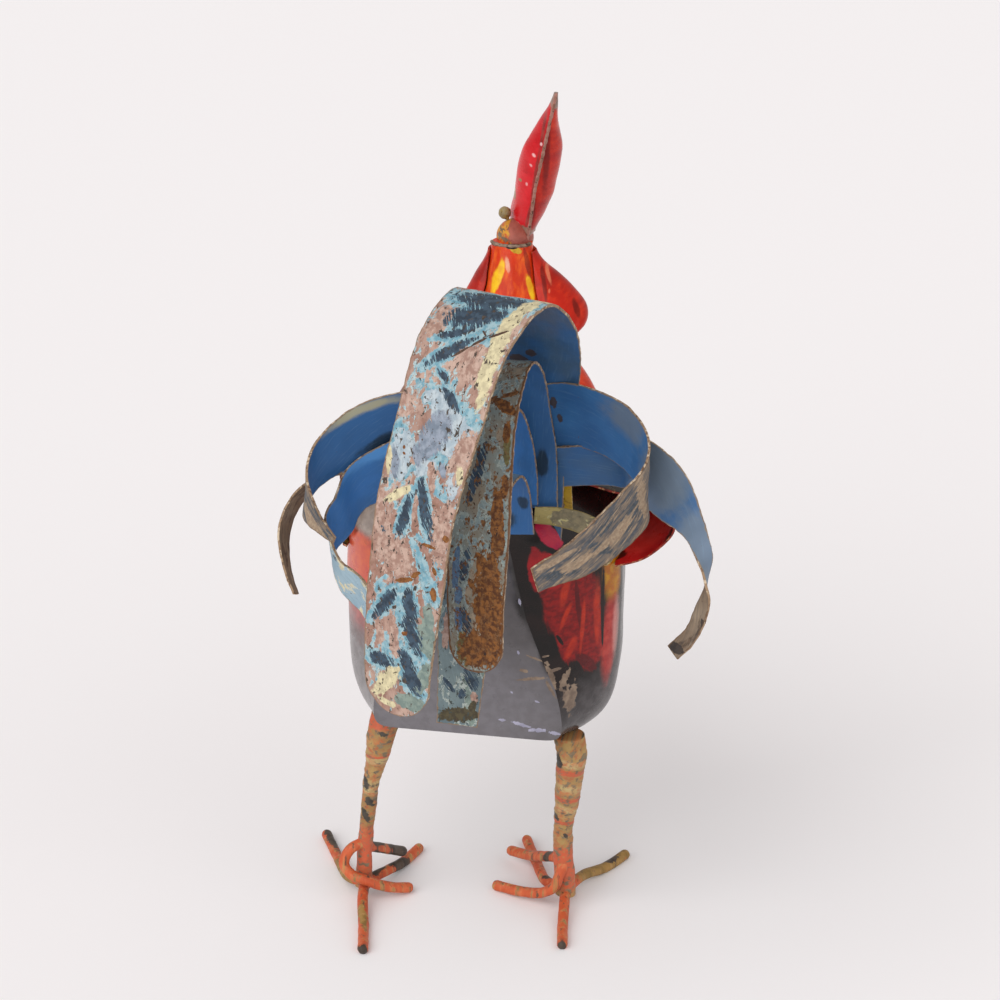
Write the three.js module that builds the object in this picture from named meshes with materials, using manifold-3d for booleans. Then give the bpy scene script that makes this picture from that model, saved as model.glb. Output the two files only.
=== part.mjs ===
// A rooster welded from painted sheet iron and bent rod, standing on two rod feet.
// Millimetres, +Z up. The bird faces -Y, so its right side is -X.
import * as THREE from 'three'
import { mergeVertices } from 'three/addons/utils/BufferGeometryUtils.js'
import Module from 'manifold-3d'

const wasm = await Module()
wasm.setup()

// Sheet, rod and the gap that a weld leaves between two pieces
const SHEET = 1.5
const ROD = 7
const GAP = 0.3
const MITRE_LIMIT = 0.3

// Body shell: its rear plate, its widest place and its breast
const BODY_AXIS_X = -6
const REAR_PLATE_Y = 77
const REAR_PLATE_LEAN = 4
const REAR_PLATE_TAPER_END = 15
const BODY_HALF_WIDTH = 87
const REAR_HALF_WIDTH = 64
// Half widths of the rear plate from its bottom to its top, as shares of the bottom one
const REAR_TAPER = [[0, 1], [0.25, 0.86], [0.36, 0.75], [0.57, 0.58], [0.77, 0.48], [0.94, 0.42], [1, 0.35]]
// Sections from tail to breast: y, underside, back, share of the half width
const BODY_SECTIONS = [
  [77, 143, 288, 1],
  [62, 137, 293, 1],
  [40, 127, 298, 1],
  [15, 122, 304, 1],
  [-15, 124, 322, 0.97],
  [-40, 134, 345, 0.86],
  [-62, 154, 356, 0.66],
  [-80, 184, 350, 0.42],
  [-92, 222, 322, 0.14],
]
const BODY_SQUARENESS = 3.5

// Neck: from the shoulders up to the head band
const NECK_RINGS = [
  { centre: [-6, -46, 322], across: 48, deep: 38 },
  { centre: [-6, -64, 345], across: 34, deep: 29 },
  { centre: [-5, -88, 373], across: 18.5, deep: 17 },
  { centre: [-4, -96, 390], across: 15, deep: 14 },
  { centre: [-3, -101, 404], across: 13.2, deep: 12.5 },
]
const NECK_TOP = NECK_RINGS.at(-1).centre[2]

// Hackle flaps: their reach from the neck's axis, from top to bottom
const HACKLE_TOP = 400
const HACKLE_BOTTOM = 350
const HACKLE_REACH = { left: [14, 18, 24, 29, 33, 33, 28], right: [14, 20, 31, 41, 49, 49, 39] }
const HACKLE_TURN = [68, 160]

// Head, turned a little to the bird's left
const HEAD_TURN = 14
const HEAD_CENTRE = [-3, -113, 404]
const HEAD_RADII = [12, 17, 11]
const EYE_RADIUS = 4.2
const EYE_PLACE = { left: [7.5, 4, 14], right: [12.5, 12, 1] }
const BEAK_LENGTH = 26
const BEAK_RADIUS = 6
const WATTLE_DROP = 30
const WATTLE_WIDTH = 15
const WATTLE_AHEAD = 9

// Comb: a leaf of two domed halves, its seam towards the tail
const COMB_SEAM = [
  [-12.5, -103, 404], [-15, -102, 420], [-18, -100, 440], [-23, -98, 463], [-27.5, -96, 484], [-32, -94, 504],
]
const COMB_TURN = 18
const COMB_DEPTH = [39.7, 36, 31.5, 22.5, 3.1]
const COMB_HALF_THICKNESS = { left: [6.4, 9, 10, 10.8, 4, 1.2], right: [6.8, 13.9, 17.9, 16.3, 7.8, 1.4] }
const COMB_BULGE = 1.9
const COMB_POINTS = 3
const COMB_POINT_DEPTH = 7

// Tail strips stand in a stack, one behind the other, on the body's back
const STACK_FRONT_Y = 57
const STACK_PITCH = SHEET + GAP
const stackY = (place) => STACK_FRONT_Y + place * STACK_PITCH
const STACK_FOOT_Z = 270

// Each tail strip: a middle line, the direction across it, and widths from root to tip
const TAIL_STRIPS = {
  sickle_main: {
    colour: '#b58a7c',
    line: [
      [-42, stackY(0), STACK_FOOT_Z], [-45, stackY(0), 345], [-49, stackY(0) + 2, 374], [-48, 92, 418],
      [-37, 135, 449], [-23, 171, 434], [-14, 190, 398], [-4, 203, 356], [2, 211, 306], [6, 215, 259],
      [6, 215, 231],
    ],
    across: [[1, 0, 0], [0.99, -0.12, 0], [0.93, -0.36, 0], [0.93, -0.36, 0], [0.96, -0.28, 0]],
    widths: [37, 38, 48, 58, 55, 50, 46, 38],
    roundTip: true,
    steps: 30,
  },
  sickle_second: {
    colour: '#7d6a58',
    line: [
      [-44, stackY(3), 293], [-43, stackY(3), 330], [-40, stackY(3) + 5, 356], [-38, 88, 391],
      [-37, 117, 404], [-35, 151, 390], [-33, 164, 361], [-32, 175, 322], [-31, 180, 282],
      [-32, 182, 244],
    ],
    across: [[1, -0.04, -0.01], [0.99, -0.12, -0.01], [0.98, -0.19, 0.01]],
    widths: [30, 30, 31, 29, 31, 35, 34, 31],
    roundTip: true,
    steps: 24,
  },
  sickle_third: {
    colour: '#8fa2aa',
    line: [
      [-34, stackY(4), 296], [-34, stackY(4), 314], [-33, 77, 346], [-30, 103, 373],
      [-23, 134, 363], [-16, 148, 309], [-19, 155, 254], [-15, 154, 193],
    ],
    across: [[0.99, -0.09, -0.01], [0.95, -0.35, 0], [0.93, 0.04, 0]],
    widths: [27, 25, 23, 30, 30, 24],
    roundTip: false,
    steps: 24,
  },
  sickle_short: {
    colour: '#6f8798',
    line: [
      [-38, 82, 284], [-37, 83, 296], [-35, 88, 318], [-33, 102, 331], [-27, 124, 320],
      [-24, 133, 288], [-20, 137, 252],
    ],
    across: [[1, 0, 0], [0.9, -0.43, 0], [0.95, -0.3, 0]],
    widths: [20, 22, 22, 24, 20],
    roundTip: true,
    steps: 18,
  },
  curl_right_upper: {
    colour: '#8a7b6c',
    line: [
      [-30, stackY(2), 346], [-60, stackY(2), 353], [-80, 73, 356], [-102, 92, 354],
      [-117, 118, 346], [-118, 136, 339], [-108, 154, 329], [-90, 175, 318], [-66, 193, 309],
    ],
    across: [[0, 0, 1], [0, 0.1, 1], [-0.05, 0.05, 1], [0.12, 0.1, 1], [0.05, 0.1, 1]],
    widths: [40, 40, 40, 38, 34, 28, 16],
    roundTip: false,
    steps: 26,
  },
  curl_right_lower: {
    colour: '#6b5f55',
    line: [
      [-30, stackY(1), 314], [-60, stackY(1), 319], [-93, 71, 328], [-110, 90, 337],
      [-135, 112, 323], [-152, 138, 308], [-155, 147, 287], [-150, 159, 268], [-139, 157, 253],
    ],
    across: [
      [-0.02, 0.09, 0.99], [0.04, 0.29, 0.94], [-0.49, 0.13, 0.86], [-0.67, -0.09, 0.53],
      [0.06, -0.67, 0.46], [0.47, -0.5, 0.63],
    ],
    widths: [26, 29, 29, 32, 13, 10, 10],
    roundTip: false,
    steps: 26,
  },
  curl_left_upper: {
    colour: '#8b7f73',
    line: [
      [-26, stackY(1), 346], [8, stackY(1) + 1, 349], [37, 76, 348], [59, 94, 342],
      [74, 116, 332], [76, 134, 322], [68, 148, 316], [53, 162, 309],
    ],
    across: [[0, 0, 1], [-0.03, 0.14, 1], [0.21, 0.01, 0.98], [-0.1, 0.08, 0.96], [-0.23, -0.05, 0.95]],
    widths: [37, 33, 35, 29, 22, 4],
    roundTip: false,
    steps: 22,
  },
  curl_left_lower: {
    colour: '#9fb2bd',
    line: [
      [-26, stackY(2), 315], [6, stackY(2) + 2, 320], [33, 81, 321], [54, 99, 314], [59, 116, 304],
      [63, 129, 296], [54, 150, 284], [35, 168, 277], [23, 187, 266],
    ],
    across: [
      [-0.01, 0.01, 1], [0.1, 0.02, 0.99], [0.17, -0.05, 0.9], [0.05, 0.05, 0.92], [0.06, -0.04, 0.91],
    ],
    widths: [29, 39, 31, 25, 22, 26],
    roundTip: false,
    steps: 22,
  },
  curl_left_outer: {
    colour: '#7c6853',
    line: [
      [44, 48, 291], [62, 60, 306], [80, 76, 308], [93, 92, 300], [98, 104, 285], [95, 114, 270],
      [87, 124, 254],
    ],
    across: [[0.3, 0.8, -0.4], [0.3, 0.8, 0.2], [0.2, 0.85, 0.3], [0.15, 0.85, 0.35]],
    widths: [16, 16, 15, 6],
    roundTip: false,
    steps: 18,
  },
}

// Steps that round a strip's tip
const TIP_STEPS = 4

// Small feather sheets under the tail
const FEATHERS = {
  feather_gold: {
    colour: '#c9a63a',
    line: [[-46, 69, 291], [-60, 69, 291], [-78, 72, 288], [-91, 80, 281], [-92, 90, 272]],
    across: [[0, -0.5, 0.87], [0, -0.5, 0.87], [-0.3, -0.5, 0.8]],
    widths: [10, 12, 13, 11],
    roundTip: true,
    steps: 11,
  },
  feather_plate: {
    colour: '#d8a92a',
    line: [[-60, 50, 276], [-60, 51, 292], [-60, 53, 308]],
    across: [[1, 0, 0], [1, 0, 0]],
    widths: [13, 12, 11],
    roundTip: false,
    steps: 4,
  },
  feather_left: {
    colour: '#a59a88',
    line: [[44, 38, 307], [64, 34, 298], [80, 28, 280], [85, 26, 262], [85, 24, 246]],
    across: [[0.2, 1, 0], [0.1, 1, 0], [0, 1, 0]],
    widths: [20, 24, 22, 12],
    roundTip: true,
    steps: 11,
  },
}

// Wings: a cupped sheet on each side, from its front arc on the body to its rear arc
const WING_FRONT_ARC = [[-64, -50, 318], [-80, -52, 302], [-88, -54, 284], [-88, -52, 268], [-82, -50, 256]]
const WING_REAR_ARC = [
  [-66, 35, 300], [-88, 34, 294], [-112, 24, 284], [-124, 16, 264], [-108, 24, 247], [-90, 33, 244],
]
const WING_BULGE = 9
const WING_FLARE = { right: 1, left: 0.06 }

// Legs: the middle line and the half width from the body down to the foot
const LEGS = {
  left: {
    line: [[49, 60, 146], [52, 63, 128], [56, 60, 108], [60, 57, 92], [64, 52, 66], [67, 49, 44], [69, 50, 7]],
    halfWidths: [10, 9, 7, 5.4, 4.8, 4.8, 5.4],
  },
  right: {
    line: [[-70, 60, 146], [-69, 61, 128], [-67, 57, 106], [-65, 51, 84], [-62, 44, 64], [-61, 39, 46], [-63, 36, 7]],
    halfWidths: [10, 9.6, 8.6, 7.6, 6.2, 6.4, 6.6],
  },
}

// Feet: the middle line of each bent rod. A rod that lies on the ground is worn flat below.
const REST_Z = ROD / 2 - 0.6
const TOES = {
  left: {
    toe_back: [[68, 52, 9], [66, 66, 7], [60, 90, REST_Z], [54, 118, REST_Z]],
    toe_outer: [[71, 50, 10], [80, 44, 8.5], [96, 12, REST_Z], [111, -16, REST_Z]],
    toe_inner: [[67, 48, 10], [57, 30, 7.5], [50, 10, REST_Z], [43, -10, REST_Z]],
    spur_low: [[68, 49, 40], [76, 55, 37], [80, 57, 27], [75, 59, 20.5], [65, 59, 17], [52, 52, 9], [38, 41, REST_Z]],
    spur_high: [[67, 49, 37], [59, 30, 24], [50, 10, 10]],
  },
  right: {
    toe_back: [[-63, 38, 9], [-64, 50, 7], [-66, 70, REST_Z], [-69, 91, REST_Z]],
    toe_outer: [[-64, 34, 10], [-71, 14, 7.5], [-84, -6, REST_Z], [-96, -26, REST_Z]],
    toe_inner: [[-61, 34, 10], [-49, 25, 7], [-37, -4, REST_Z], [-25, -33, REST_Z]],
    spur_low: [[-62, 40, 33], [-60, 45, 27], [-57, 46, 18], [-49, 44, 11], [-34, 37, 5.5], [-13, 28, REST_Z]],
    spur_high: [[-62, 34, 33], [-46, 18, 22], [-33, 3, 12], [-17, -9, 7]],
  },
}
const ROD_SIDES = 8
const ROD_STEPS = 7

const COLOURS = {
  plate: '#55504f',
  neck: '#d8401a',
  flap: '#a82010',
  head: '#e09a26',
  eye: '#6b6058',
  beak: '#c8a040',
  wattle: '#a81c14',
  comb: '#c02a2c',
  wing: '#8c1f22',
  leg: '#c8a860',
  toe: '#e0683c',
}

const vector = (point) => new THREE.Vector3(...point)
const curve = (points) => new THREE.CatmullRomCurve3(points.map(vector), false, 'centripetal')

// A signed power that is exactly 0 at 0
function power(value, exponent) {
  return Math.abs(value) < 1e-6 ? 0 : Math.sign(value) * Math.abs(value) ** exponent
}

// A smooth value between evenly spaced values
function between(values, share) {
  const line = new THREE.SplineCurve(values.map((value, index) => new THREE.Vector2(index, value)))
  return line.getPoint(THREE.MathUtils.clamp(share, 0, 1)).y
}

// A value between [place, value] pairs
function taper(pairs, place) {
  const next = pairs.findIndex((pair) => pair[0] >= place)
  if (next <= 0) return pairs[next === 0 ? 0 : pairs.length - 1][1]
  const [from, low] = pairs[next - 1]
  const [to, high] = pairs[next]
  return THREE.MathUtils.mapLinear(place, from, to, low, high)
}

// Keeps only the places of a geometry and turns its faces outwards
function closed(geometry) {
  geometry.deleteAttribute('normal')
  geometry.deleteAttribute('uv')
  const merged = mergeVertices(geometry, 1e-4)
  const places = merged.attributes.position
  const index = merged.index.array
  const corner = [new THREE.Vector3(), new THREE.Vector3(), new THREE.Vector3()]
  let volume = 0
  for (let face = 0; face < index.length; face += 3) {
    corner.forEach((point, side) => point.fromBufferAttribute(places, index[face + side]))
    volume += corner[0].dot(corner[1].cross(corner[2]))
  }
  if (volume < 0) {
    for (let face = 0; face < index.length; face += 3) {
      const kept = index[face]
      index[face] = index[face + 1]
      index[face + 1] = kept
    }
  }
  return merged
}

// A closed tube or loft: place(along, turn, reach) gives a point of its wall or of its end faces
function loft(place, sides, steps) {
  const geometry = new THREE.CylinderGeometry(1, 1, 1, sides, steps)
  const points = geometry.attributes.position
  for (let index = 0; index < points.count; index++) {
    const x = points.getX(index)
    const z = points.getZ(index)
    const point = place(points.getY(index) + 0.5, Math.atan2(x, z), Math.hypot(x, z))
    points.setXYZ(index, point.x, point.y, point.z)
  }
  return closed(geometry)
}

// A bent sheet: surface(along, over) gives its middle face
function bentSheet(surface, steps, rows) {
  const geometry = new THREE.BoxGeometry(1, 1, 1, steps, rows, 1)
  const points = geometry.attributes.position
  const small = 1e-3
  for (let index = 0; index < points.count; index++) {
    const along = points.getX(index) + 0.5
    const over = points.getY(index) + 0.5
    const side = points.getZ(index)
    const ahead = surface(Math.min(along + small, 1), over).sub(surface(Math.max(along - small, 0), over))
    const aside = surface(along, Math.min(over + small, 1)).sub(surface(along, Math.max(over - small, 0)))
    const point = surface(along, over).addScaledVector(ahead.cross(aside).normalize(), side * SHEET)
    points.setXYZ(index, point.x, point.y, point.z)
  }
  return closed(geometry)
}

// A strip of sheet: its middle line, the direction across it and its width along the line
function strip({ line, across, widths, roundTip, steps }) {
  const middle = curve(line)
  const tipShare = roundTip ? between(widths, 1) / 2 / middle.getLength() : 0
  const tipSteps = roundTip ? TIP_STEPS / steps : 0
  return bentSheet((step, over) => {
    const round = tipSteps ? Math.max(0, (step - 1 + tipSteps) / tipSteps) * (Math.PI / 2) : 0
    const straight = Math.min(1, step / (1 - tipSteps)) * (1 - tipShare)
    const along = straight + tipShare * Math.sin(round)
    const tangent = middle.getTangentAt(along)
    const side = new THREE.Vector3()
    side.x = between(across.map((entry) => entry[0]), along)
    side.y = between(across.map((entry) => entry[1]), along)
    side.z = between(across.map((entry) => entry[2]), along)
    side.addScaledVector(tangent, -side.dot(tangent)).normalize()
    const width = between(widths, along) * Math.max(0.12, Math.cos(round))
    return middle.getPointAt(along).addScaledVector(side, width * (over - 0.5))
  }, steps, 1)
}

// A bent rod whose lowest side is worn flat on the ground
function rod(line) {
  const section = new THREE.Shape()
  for (let side = 0; side < ROD_SIDES; side++) {
    const turn = ((side + 0.5) / ROD_SIDES) * 2 * Math.PI
    const move = side === 0 ? 'moveTo' : 'lineTo'
    section[move]((ROD / 2) * Math.cos(turn), (ROD / 2) * Math.sin(turn))
  }
  const geometry = new THREE.ExtrudeGeometry(section, { extrudePath: curve(line), steps: ROD_STEPS })
  const points = geometry.attributes.position
  for (let index = 0; index < points.count; index++) {
    points.setZ(index, Math.max(0, points.getZ(index)))
  }
  return closed(geometry)
}

function bodyGeometry() {
  const stations = BODY_SECTIONS.map(([y, low, high, share]) => [y, low, high, share * BODY_HALF_WIDTH])
  return loft((along, turn, reach) => {
    const [y, low, high, half] = [0, 1, 2, 3].map((part) => between(stations.map((entry) => entry[part]), along))
    const rise = power(Math.cos(turn), 2 / BODY_SQUARENESS)
    const share = (rise + 1) / 2
    const flare = THREE.MathUtils.clamp((REAR_PLATE_Y - y) / (REAR_PLATE_Y - REAR_PLATE_TAPER_END), 0, 1)
    const open = Math.sin((flare * Math.PI) / 2)
    const rear = power(Math.sin(turn), 0.12) * REAR_HALF_WIDTH * taper(REAR_TAPER, share)
    const full = half * power(Math.sin(turn), 2 / BODY_SQUARENESS)
    const lean = REAR_PLATE_LEAN * share * (1 - flare)
    return new THREE.Vector3(
      BODY_AXIS_X + reach * THREE.MathUtils.lerp(rear, full, open),
      y + (reach > 0.5 ? lean : REAR_PLATE_LEAN * 0.5 * (1 - flare)),
      (low + high) / 2 + reach * rise * ((high - low) / 2),
    )
  }, 30, 15)
}

function neckPlace(share) {
  const value = (pick) => between(NECK_RINGS.map(pick), share)
  const centre = [0, 1, 2].map((axis) => value((ring) => ring.centre[axis]))
  return { centre: vector(centre), across: value((ring) => ring.across), deep: value((ring) => ring.deep) }
}

function neckGeometry() {
  return loft((along, turn, reach) => {
    const { centre, across, deep } = neckPlace(along)
    centre.x += reach * across * Math.sin(turn)
    centre.y += reach * deep * Math.cos(turn)
    return centre
  }, 20, 8)
}

// The share of the neck's length at a height
function neckShareAt(height) {
  let [low, high] = [0, 1]
  while (high - low > 1e-4) {
    const middle = (low + high) / 2
    if (neckPlace(middle).centre.z < height) low = middle
    else high = middle
  }
  return low
}

function hackleGeometry(side, flap) {
  const [from, to] = HACKLE_TURN.map(THREE.MathUtils.degToRad)
  return bentSheet((along, over) => {
    const height = THREE.MathUtils.lerp(HACKLE_TOP, HACKLE_BOTTOM, along)
    const { centre, across, deep } = neckPlace(neckShareAt(Math.min(height, NECK_TOP - 0.5)))
    const turn = THREE.MathUtils.lerp(from, to, over)
    const clear = GAP + SHEET / 2
    const bulge = Math.sin(Math.PI * over) ** 0.6
    const reachAcross = across + clear + (between(flap, along) - across) * bulge
    const reachDeep = deep + clear + (between(flap, along) - across) * bulge * 0.55
    centre.x += side * reachAcross * Math.sin(turn)
    centre.y += reachDeep * Math.cos(turn)
    centre.z = height
    return centre
  }, 7, 8)
}

// Turns a point given ahead (-Y) of the head's centre to where the head looks
function headPoint(aside, ahead, up) {
  const point = new THREE.Vector3(aside, -ahead, up)
  point.applyAxisAngle(new THREE.Vector3(0, 0, 1), THREE.MathUtils.degToRad(HEAD_TURN))
  return point.add(vector(HEAD_CENTRE))
}

function headGeometry() {
  const geometry = new THREE.SphereGeometry(1, 14, 9)
  geometry.scale(...HEAD_RADII)
  geometry.rotateZ(THREE.MathUtils.degToRad(HEAD_TURN))
  geometry.translate(...HEAD_CENTRE)
  return closed(geometry)
}

function eyeGeometry(side, [aside, ahead, up]) {
  const geometry = new THREE.SphereGeometry(EYE_RADIUS, 10, 6)
  const place = headPoint(side * aside, ahead, up)
  geometry.translate(place.x, place.y, place.z)
  return closed(geometry)
}

// One half of the beak: a tapered, slightly hooked cone cut flat where the halves meet
function beakGeometry(up) {
  const start = HEAD_RADII[1] - 5
  return loft((along, turn, reach) => {
    const radius = BEAK_RADIUS * (1 - along) ** 0.7 * (up > 0 ? 1 : 0.85) + 0.5
    const length = BEAK_LENGTH * (up > 0 ? 1 : 0.86)
    const drop = up > 0 ? -5 * along * along : -3 * along
    const height = Math.max(0, Math.cos(turn)) * radius * reach
    const middle = -1 + drop + up * (GAP / 2)
    return headPoint(reach * radius * Math.sin(turn), start + along * length, middle + up * height)
  }, 12, 5)
}

function wattleGeometry(side) {
  return loft((along, turn, reach) => {
    const shape = Math.sin(Math.PI * Math.min(1, 0.12 + along * 0.88)) ** 0.6 + 0.06
    const ahead = WATTLE_AHEAD + reach * (WATTLE_WIDTH / 2) * shape * Math.cos(turn)
    const aside = side * (4.5 + 3 * along) + reach * 1.6 * shape * Math.sin(turn)
    return headPoint(aside, ahead, -7 - along * WATTLE_DROP)
  }, 10, 6)
}

function combGeometry() {
  const seam = curve(COMB_SEAM)
  return loft((along, turn, reach) => {
    const scallop = COMB_POINT_DEPTH * Math.abs(Math.sin(COMB_POINTS * Math.PI * along)) * (1 - along)
    const depth = between(COMB_DEPTH, along) + scallop
    const share = (1 - Math.cos(turn)) / 2
    const bulge = COMB_BULGE * share ** 0.62 * (1 - share) ** 0.5 + 0.05 * Math.abs(Math.sin(turn))
    const thickness = Math.sin(turn) > 0 ? COMB_HALF_THICKNESS.left : COMB_HALF_THICKNESS.right
    const half = between(thickness, along) * power(Math.sin(turn), 0.2) * bulge
    const offset = new THREE.Vector3(reach * half, -depth * (reach > 0.5 ? share : 0.5), 0)
    offset.applyAxisAngle(new THREE.Vector3(0, 0, 1), THREE.MathUtils.degToRad(COMB_TURN))
    return seam.getPoint(along).add(offset)
  }, 16, 13)
}

function wingGeometry(side, flare) {
  const front = curve(WING_FRONT_ARC)
  const rear = curve(WING_REAR_ARC)
  const body = BODY_AXIS_X - BODY_HALF_WIDTH
  return bentSheet((along, over) => {
    const from = front.getPoint(over)
    const to = rear.getPoint(over)
    const point = from.lerp(to, along)
    point.x -= WING_BULGE * Math.sin(Math.PI * along) * Math.sin(Math.PI * over)
    if (point.x < body) point.x = body + (point.x - body) * flare
    if (side > 0) point.x = 2 * BODY_AXIS_X - point.x
    return point
  }, 9, 8)
}

function legGeometry({ line, halfWidths }) {
  const middle = curve(line)
  return loft((along, turn, reach) => {
    const half = between(halfWidths, along)
    const point = middle.getPoint(along)
    point.x += reach * half * Math.sin(turn)
    point.y += reach * half * 0.9 * Math.cos(turn)
    return point
  }, 10, 8)
}

function toSolid(geometry) {
  const vertProperties = new Float32Array(geometry.attributes.position.array)
  const triVerts = new Uint32Array(geometry.index.array)
  return new wasm.Manifold(new wasm.Mesh({ numProp: 3, vertProperties, triVerts }))
}

function toGeometry(solid) {
  const mesh = solid.getMesh()
  const geometry = new THREE.BufferGeometry()
  geometry.setAttribute('position', new THREE.BufferAttribute(new Float32Array(mesh.vertProperties), 3))
  geometry.setIndex(new THREE.BufferAttribute(new Uint32Array(mesh.triVerts), 1))
  return geometry
}

// The geometry with its corners moved outwards, so that every face moves by the weld gap or more
function grown(geometry) {
  const bigger = geometry.clone()
  bigger.computeVertexNormals()
  const points = bigger.attributes.position
  const index = bigger.index.array
  const normals = Array.from({ length: points.count }, (_, at) => (
    new THREE.Vector3().fromBufferAttribute(bigger.attributes.normal, at)
  ))
  const reach = new Array(points.count).fill(1)
  for (let face = 0; face < index.length; face += 3) {
    const corners = [0, 1, 2].map((side) => new THREE.Vector3().fromBufferAttribute(points, index[face + side]))
    const normal = new THREE.Triangle(...corners).getNormal(new THREE.Vector3())
    for (const at of index.slice(face, face + 3)) {
      reach[at] = Math.max(reach[at], 1 / Math.max(MITRE_LIMIT, normal.dot(normals[at])))
    }
  }
  normals.forEach((normal, at) => {
    const moved = new THREE.Vector3().fromBufferAttribute(points, at)
    moved.addScaledVector(normal, GAP * reach[at])
    points.setXYZ(at, moved.x, moved.y, moved.z)
  })
  bigger.deleteAttribute('normal')
  return bigger
}

// What is left of a piece outside its neighbours: its largest part
function clearOf(geometry, neighbours) {
  let solid = toSolid(geometry)
  for (const neighbour of neighbours) solid = solid.subtract(toSolid(grown(neighbour)))
  const parts = solid.decompose().sort((one, other) => other.volume() - one.volume())
  return toGeometry(parts[0])
}

const bird = new THREE.Group()
// The uncut form of each piece, which cuts the pieces that are added after it
const forms = {}

function add(name, form, neighbours, colour, roughness = 0.5) {
  const material = new THREE.MeshStandardMaterial({ color: colour, roughness, metalness: 0.3 })
  const geometry = clearOf(form, neighbours.map((neighbour) => forms[neighbour]))
  const mesh = new THREE.Mesh(geometry, material)
  mesh.name = name
  forms[name] = form
  bird.add(mesh)
}

const SIDES = [['left', 1], ['right', -1]]

add('body_shell', bodyGeometry(), [], COLOURS.plate, 0.35)
add('neck_cone', neckGeometry(), ['body_shell'], COLOURS.neck, 0.4)
add('head', headGeometry(), ['neck_cone'], COLOURS.head, 0.4)
for (const [name, side] of SIDES) {
  const flap = hackleGeometry(side, HACKLE_REACH[name])
  add(`hackle_${name}`, flap, ['body_shell', 'neck_cone', 'head'], COLOURS.flap, 0.4)
}

const skull = ['head', 'neck_cone', 'hackle_left', 'hackle_right']
add('comb', combGeometry(), skull, COLOURS.comb, 0.4)
for (const [name, side] of SIDES) {
  add(`eye_${name}`, eyeGeometry(side, EYE_PLACE[name]), ['head', 'comb'], COLOURS.eye)
  add(`wattle_${name}`, wattleGeometry(side), skull, COLOURS.wattle)
}
const jaws = ['head', 'comb', 'wattle_left', 'wattle_right']
add('beak_upper', beakGeometry(1), jaws, COLOURS.beak)
add('beak_lower', beakGeometry(-1), [...jaws, 'beak_upper'], COLOURS.beak)

const carriers = ['body_shell']
for (const [name, side] of SIDES) {
  add(`wing_${name}`, wingGeometry(side, WING_FLARE[name]), ['body_shell'], COLOURS.wing, 0.45)
  carriers.push(`wing_${name}`)
}
for (const [name, shape] of Object.entries({ ...TAIL_STRIPS, ...FEATHERS })) {
  add(name, strip(shape), carriers, shape.colour, 0.6)
  carriers.push(name)
}

for (const [side, leg] of Object.entries(LEGS)) {
  const joined = [`leg_${side}`]
  add(`leg_${side}`, legGeometry(leg), ['body_shell'], COLOURS.leg, 0.55)
  for (const [toe, line] of Object.entries(TOES[side])) {
    add(`${toe}_${side}`, rod(line), joined, COLOURS.toe, 0.55)
    joined.push(`${toe}_${side}`)
  }
}

// The origin lies on the ground, at the middle of the bird's outline
const box = new THREE.Box3().setFromObject(bird)
const middle = box.getCenter(new THREE.Vector3())
bird.position.set(-middle.x, -middle.y, -box.min.z)

const group = new THREE.Group()
group.add(bird)

export default group
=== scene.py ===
"""A rooster welded from painted sheet iron and bent rod, dressed over its CAD frame."""
import math

import bpy
import numpy as np
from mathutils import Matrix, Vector


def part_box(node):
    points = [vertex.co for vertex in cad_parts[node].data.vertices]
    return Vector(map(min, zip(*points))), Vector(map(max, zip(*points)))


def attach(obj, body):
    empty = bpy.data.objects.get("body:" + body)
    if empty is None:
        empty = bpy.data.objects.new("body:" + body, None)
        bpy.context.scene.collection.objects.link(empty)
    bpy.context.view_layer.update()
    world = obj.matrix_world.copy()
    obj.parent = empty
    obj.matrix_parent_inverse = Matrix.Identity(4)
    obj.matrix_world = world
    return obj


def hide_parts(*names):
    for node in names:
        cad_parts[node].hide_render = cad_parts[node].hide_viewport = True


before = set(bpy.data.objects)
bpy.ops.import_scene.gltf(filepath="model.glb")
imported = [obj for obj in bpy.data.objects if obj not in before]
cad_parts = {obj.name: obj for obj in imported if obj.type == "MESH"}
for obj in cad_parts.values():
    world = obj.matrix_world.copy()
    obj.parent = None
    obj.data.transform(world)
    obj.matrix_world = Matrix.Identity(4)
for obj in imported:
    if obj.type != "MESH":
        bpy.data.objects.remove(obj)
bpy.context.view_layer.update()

bl_info = {
    "name": "Iron rooster",
    "version": (1, 0, 0),
    "blender": (4, 5, 0),
    "location": "View3D > Sidebar > Rooster",
    "description": "Builds a rooster welded from painted sheet iron and bent rod",
    "category": "Add Mesh",
}

MM = 0.001
METRE_IN_MM = 1000
FULL_TURN = 2 * math.pi

# The shapes below are in millimetres with the bird's own origin. This moves them to the frame's.
BODY_AXIS_X = -6
BREAST_Y = -92
body_low, body_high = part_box("body_shell")
SHIFT = np.array([
    (body_low.x + body_high.x) / 2 * METRE_IN_MM - BODY_AXIS_X,
    body_low.y * METRE_IN_MM - BREAST_Y,
    0,
])

# Sheet iron, and the gap that a weld leaves between two pieces
SHEET = 1.5
GAP = 0.3
EDGE_BEVEL = 0.25
SHARP_EDGE = 60

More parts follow.
